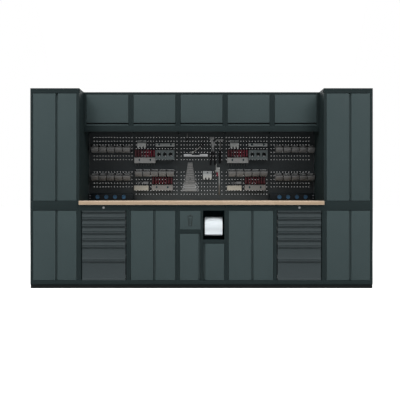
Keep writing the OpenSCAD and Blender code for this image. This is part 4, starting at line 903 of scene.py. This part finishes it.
def finishSteel(look):
    bm = mergedCopy("hand_tools")
    roundEdges(bm, [e for e in bm.edges if isCorner(e)], look["round"], 1)
    keys = 0
    for group, low, high in islands(bm):
        x, z = (low[0] + high[0]) / 2, (low[2] + high[2]) / 2
        # pieces outside every field take the dark steel, a painted shade on the blades
        finish = next((f for f, left, right, foot, top in look["fields"] if left < x < right and foot < z < top), 0)
        spanner = finish == 1
        if look["keyFoot"] < z < look["keyTop"] and any(abs(x - at) < look["keyHalf"] for at in look["keyBlocks"]):
            keys += 1
            finish = look["bright"] if keys % 2 else 0
            if high[0] - low[0] > look["foldingWide"]:
                finish = look["folding"]
        for face in group:
            # spanners outside the tower and those low on it take the lighter key steel, a painted highlight
            outside = abs(face.calc_center_median().x / mm - look["tower"]) > look["towerHalf"]
            face.material_index = look["bright"] if spanner and (outside or z < look["towerLitBelow"]) else finish
    finishPiece(bm, "toolSteel", look["finishes"], "cabinet", ["hand_tools"])


finishSteel(steelKinds)

rackScrews = {
    "profile": [(0, 1.5), (2.6, 1.5), (2.8, 2.9), (4.6, 3), (6, 2), (6.5, 0.3), (6.5, 0)], "steps": 16,
    "places": [(-663, 230.2, 1547), (365, 230.2, 1547), (64, 230.2, 1203), (-127, 230.2, 1129)],
    "slotShadeProfile": [(0, 0.4), (6.9, 0.4), (7.3, 1), (8, 1), (8.4, 0)], "slotStretch": 1.6,
    "plateHalf": 61, "plateFace": 196.2, "plateRise": 34,
    "rails": (-404, 624), "railHalf": 65, "railFace": 206.2, "railHeight": 1513,
}


def slotShadePlaces(look):
    onPlates = [(middle + side * look["plateHalf"], look["plateFace"], worktopTop + height + look["plateRise"])
                for middle, height in driverSet["racks"] for side in (-1, 1)]
    onRails = [(middle + side * look["railHalf"], look["railFace"], look["railHeight"])
               for middle in look["rails"] for side in (-1, 1)]
    return onPlates + onRails


def addScrews(look):
    bm = bmesh.new()
    shape = latheShape(look["profile"], look["steps"])
    for place in look["places"]:
        addShape(bm, shape, shifted(*place) @ turned(90, "X"), 0)
    shape.free()
    # the slots are flat dark ovals in the niche coat on the plate and rail faces, a painted shade
    shape = latheShape(look["slotShadeProfile"], look["steps"])
    stretch = Matrix.Diagonal((1, 1, look["slotStretch"], 1))
    for place in slotShadePlaces(look):
        addShape(bm, shape, shifted(*place) @ stretch @ turned(90, "X"), 1)
    shape.free()
    finishPiece(bm, "rackScrews", ["screw", "niche"], "cabinet", ())


addScrews(rackScrews)
print("racks, steel and", len(rackScrews["places"] + slotShadePlaces(rackScrews)), "fixings")

# Paper roll: a card core, the wound paper and its free end hanging from the front

paperRoll = {
    "middle": (124.5, -127.5, 629), "width": 181.4, "radius": 98, "coreOuter": 24, "coreInner": 18.8,
    "endRound": 2.0, "steps": 72, "tailIn": 1.5, "tailThick": 0.8,
    "tail": [(-96.6, 17), (-98.5, 0), (-97.9, -10), (-96, -21), (-93.4, -31), (-91.8, -41), (-91.5, -52),
             (-92.1, -63), (-92.9, -72), (-93.3, -78)],
}


def spinAboutX(bm, profile, steps):
    # a profile of (along, radius) in mm, turned about X
    points = [bm.verts.new((x * mm, 0, r * mm)) for x, r in profile]
    edges = [bm.edges.new(pair) for pair in zip(points, points[1:] + points[:1])]
    bmesh.ops.spin(bm, geom=points + edges, cent=(0, 0, 0), axis=(1, 0, 0), angle=2 * math.pi, steps=steps,
                   use_merge=True)


def makeRoll(look):
    half, outer, soft = look["width"] / 2, look["radius"], look["endRound"]
    bm = bmesh.new()
    spinAboutX(bm, [(-half, look["coreOuter"]), (-half, outer - soft), (-half + 0.3 * soft, outer - 0.3 * soft),
                    (-half + soft, outer), (half - soft, outer), (half - 0.3 * soft, outer - 0.3 * soft),
                    (half, outer - soft), (half, look["coreOuter"])], look["steps"])
    paperFaces = len(bm.faces)
    spinAboutX(bm, [(-half, look["coreInner"]), (-half, look["coreOuter"]), (half, look["coreOuter"]),
                    (half, look["coreInner"])], look["steps"])
    bm.faces.ensure_lookup_table()
    for face in bm.faces[paperFaces:]:
        face.material_index = 1
    tailBack = [(y + look["tailThick"], z) for y, z in reversed(look["tail"])]
    prism(bm, look["tail"] + tailBack, look["tailIn"] - half, half - look["tailIn"])
    bmesh.ops.remove_doubles(bm, verts=bm.verts, dist=spinWeld)
    bmesh.ops.recalc_face_normals(bm, faces=bm.faces)
    bmesh.ops.translate(bm, verts=bm.verts, vec=Vector(look["middle"]) * mm)
    return bm


paperLook = {
    "name": "softPaper", "colour": rgb(0.82, 0.88, 0.915), "shade": rgb(0.5, 0.54, 0.56),
    "axis": (0.1245, -0.1275, 0.629), "layers": 2600.0, "dimples": 160,
}
materials["paper"] = paperMaterial(paperLook)
finishPiece(makeRoll(paperRoll), "paperRoll", ["paper", "card"], bodyOf["paper_roll"], ["paper_roll"])
print("paper roll")

# Sockets and other small parts

socketFinish = {"round": 0.7 * mm, "wide": 40, "wellFace": 3.5}


def finishSockets(look):
    bm = mergedCopy("sockets")
    roundEdges(bm, [e for e in bm.edges if isCorner(e)], look["round"], 2)
    for group, low, high in islands(bm):
        isSocket = high[0] - low[0] > look["wide"]
        for face in group:
            # faces deep in the well take a darker copy of the socket plastic, a painted shade
            deep = face.calc_center_median().y / mm - low[1] > look["wellFace"]
            face.material_index = (1 if deep else 0) if isSocket else 2
    finishPiece(bm, "socketRings", ["socket", "socketWellShade", "outlet"], "cabinet", ["sockets"])


finishSockets(socketFinish)

socketCollars = {
    "profile": [(22.4, 0), (22.7, 2.2), (23.6, 2.9), (25.6, 2.6), (27, 1.2), (27.2, 0)], "steps": 32,
    "middles": (-1000, 1000), "perStrip": 4, "pitch": 96, "height": 933.5, "sunk": 1,
}


def addCollars(look):
    bm = bmesh.new()
    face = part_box("sockets")[0][1] / mm
    shape = latheShape(look["profile"], look["steps"])
    for middle in look["middles"]:
        for k in range(look["perStrip"]):
            x = middle + (k - (look["perStrip"] - 1) / 2) * look["pitch"]
            addShape(bm, shape, shifted(x, face + look["sunk"], look["height"]) @ turned(90, "X"), 0)
    shape.free()
    finishPiece(bm, "socketCollars", ["strip"], "cabinet", ())


addCollars(socketCollars)

for node, finish in (("perforated_panels", "panel"), ("panel_rails", "panel"), ("hinge_pins", "screw"),
                     ("drawer_runners", "zinc"), ("roll_spindle", "screw"), ("shelves", "inside")):
    repaint(node, finish)
for node, width, finish, slot in (("waste_bin", 1.2 * mm, "wasteBin", "bin_black"),
                                  ("lock_left", 0.6 * mm, "chrome", "lock_chrome"),
                                  ("lock_right", 0.6 * mm, "chrome", "lock_chrome"),
                                  ("power_strips", 1.2 * mm, "strip", "strip_black")):
    softCopy(node, width, finish)

# Storage bins: tapered shells, painted dark inside as painted shade, with a rolled rim along the back in a painted
# highlight

storageBins = {
    # middle of each row and its height over the worktop
    "rows": [(-1000, 527), (-1000, 218), (-518, 264), (510, 264), (1028, 527), (1028, 218)],
    "perRow": 5, "pitch": 87, "back": 228.9, "width": 85, "wall": 2,
    "side": [(0, 0), (-58, 0), (-65, 3), (-71.5, 8.5), (-77.5, 16), (-82.5, 24), (-86.5, 32), (-89.5, 40),
             (-91.5, 47), (-92, 53), (-65, 80), (0, 80)],
    "mouth": 53, "depth": 92,
    "toeTaper": 0.9, "frontTaper": 0.965, "round": 3, "rim": (-7, -2.2, 68.5, 79.6), "rimIn": 5,
}


def binShape(look):
    half = look["width"] / 2
    bm = bmesh.new()
    prism(bm, look["side"], -half, half)
    bmesh.ops.recalc_face_normals(bm, faces=bm.faces)
    bmesh.ops.delete(bm, geom=[f for f in bm.faces if f.normal.z > 0.3], context="FACES")
    for vert in bm.verts:
        foot = 1 - min(1, vert.co.z / mm / look["mouth"])
        nose = -vert.co.y / mm / look["depth"]
        vert.co.x *= 1 - foot * (1 - look["toeTaper"]) - nose * (1 - look["frontTaper"])
    bmesh.ops.bevel(bm, geom=[e for e in bm.edges if isCorner(e)], offset=look["round"] * mm, offset_type="OFFSET",
                    segments=2, profile=0.5, affect="EDGES", clamp_overlap=True, material=-1)
    outside = set(bm.faces)
    bmesh.ops.solidify(bm, geom=bm.faces[:], thickness=look["wall"] * mm)
    for face in bm.faces:
        # inner faces take the dark coat, a painted shade
        face.material_index = 0 if face in outside else 1
    shell = len(bm.faces)
    back, fore, low, high = look["rim"]
    boxMesh(bm, Vector((look["rimIn"] - half, back, low)) * mm, Vector((half - look["rimIn"], fore, high)) * mm)
    bm.faces.ensure_lookup_table()
    # the rim takes a lighter coat, a painted highlight
    for face in bm.faces[shell:]:
        face.material_index = 2
    return bm


def addBins(look):
    bm = bmesh.new()
    shape = binShape(look)
    for middle, height in look["rows"]:
        for k in range(look["perRow"]):
            x = middle + (k - (look["perRow"] - 1) / 2) * look["pitch"]
            addShape(bm, shape, shifted(x, look["back"], worktopTop + height))
    shape.free()
    finishPiece(bm, "storageBins", ["bin", "binInsideShade", "binRimHighlight"], "cabinet", ["storage_bins"])


addBins(storageBins)

# A plain waste-bin sign on the waste flap, in thin enamel

wasteSign = {
    "middle": (-116, 688), "face": -237.5, "thick": 0.3, "round": 0.12,
    "bars": [(-30, 47, 30, 54), (-8, 54, 8, 60.5), (-18, -52, 18, -45), (-10.5, -36, -5, 29), (5, -36, 10.5, 29)],
    "walls": [(-25, -18, 7), (25, 18, -7)],  # top and foot from the middle, and the stroke
    "wallTop": 43, "wallFoot": -52,
}


def makeSign(look):
    bm = bmesh.new()
    midX, midZ = look["middle"]
    back, front = look["face"], look["face"] - look["thick"]
    for left, foot, right, top in look["bars"]:
        boxMesh(bm, Vector((midX + left, front, midZ + foot)) * mm, Vector((midX + right, back, midZ + top)) * mm)
    for top, foot, stroke in look["walls"]:
        made = boxMesh(bm, Vector((midX + min(0, stroke), front, midZ + look["wallFoot"])) * mm,
                       Vector((midX + max(0, stroke), back, midZ + look["wallTop"])) * mm)
        for vert in made:
            vert.co.x += (top if vert.co.z / mm > midZ else foot) * mm
    rim = [e for e in bm.edges if all(abs(v.co.y / mm - front) < 0.01 for v in e.verts)]
    roundEdges(bm, rim, look["round"] * mm, 1)
    finishPiece(bm, "wasteSign", ["mark"], bodyOf["waste_flap"], ())


makeSign(wasteSign)
print("small parts and finishes")
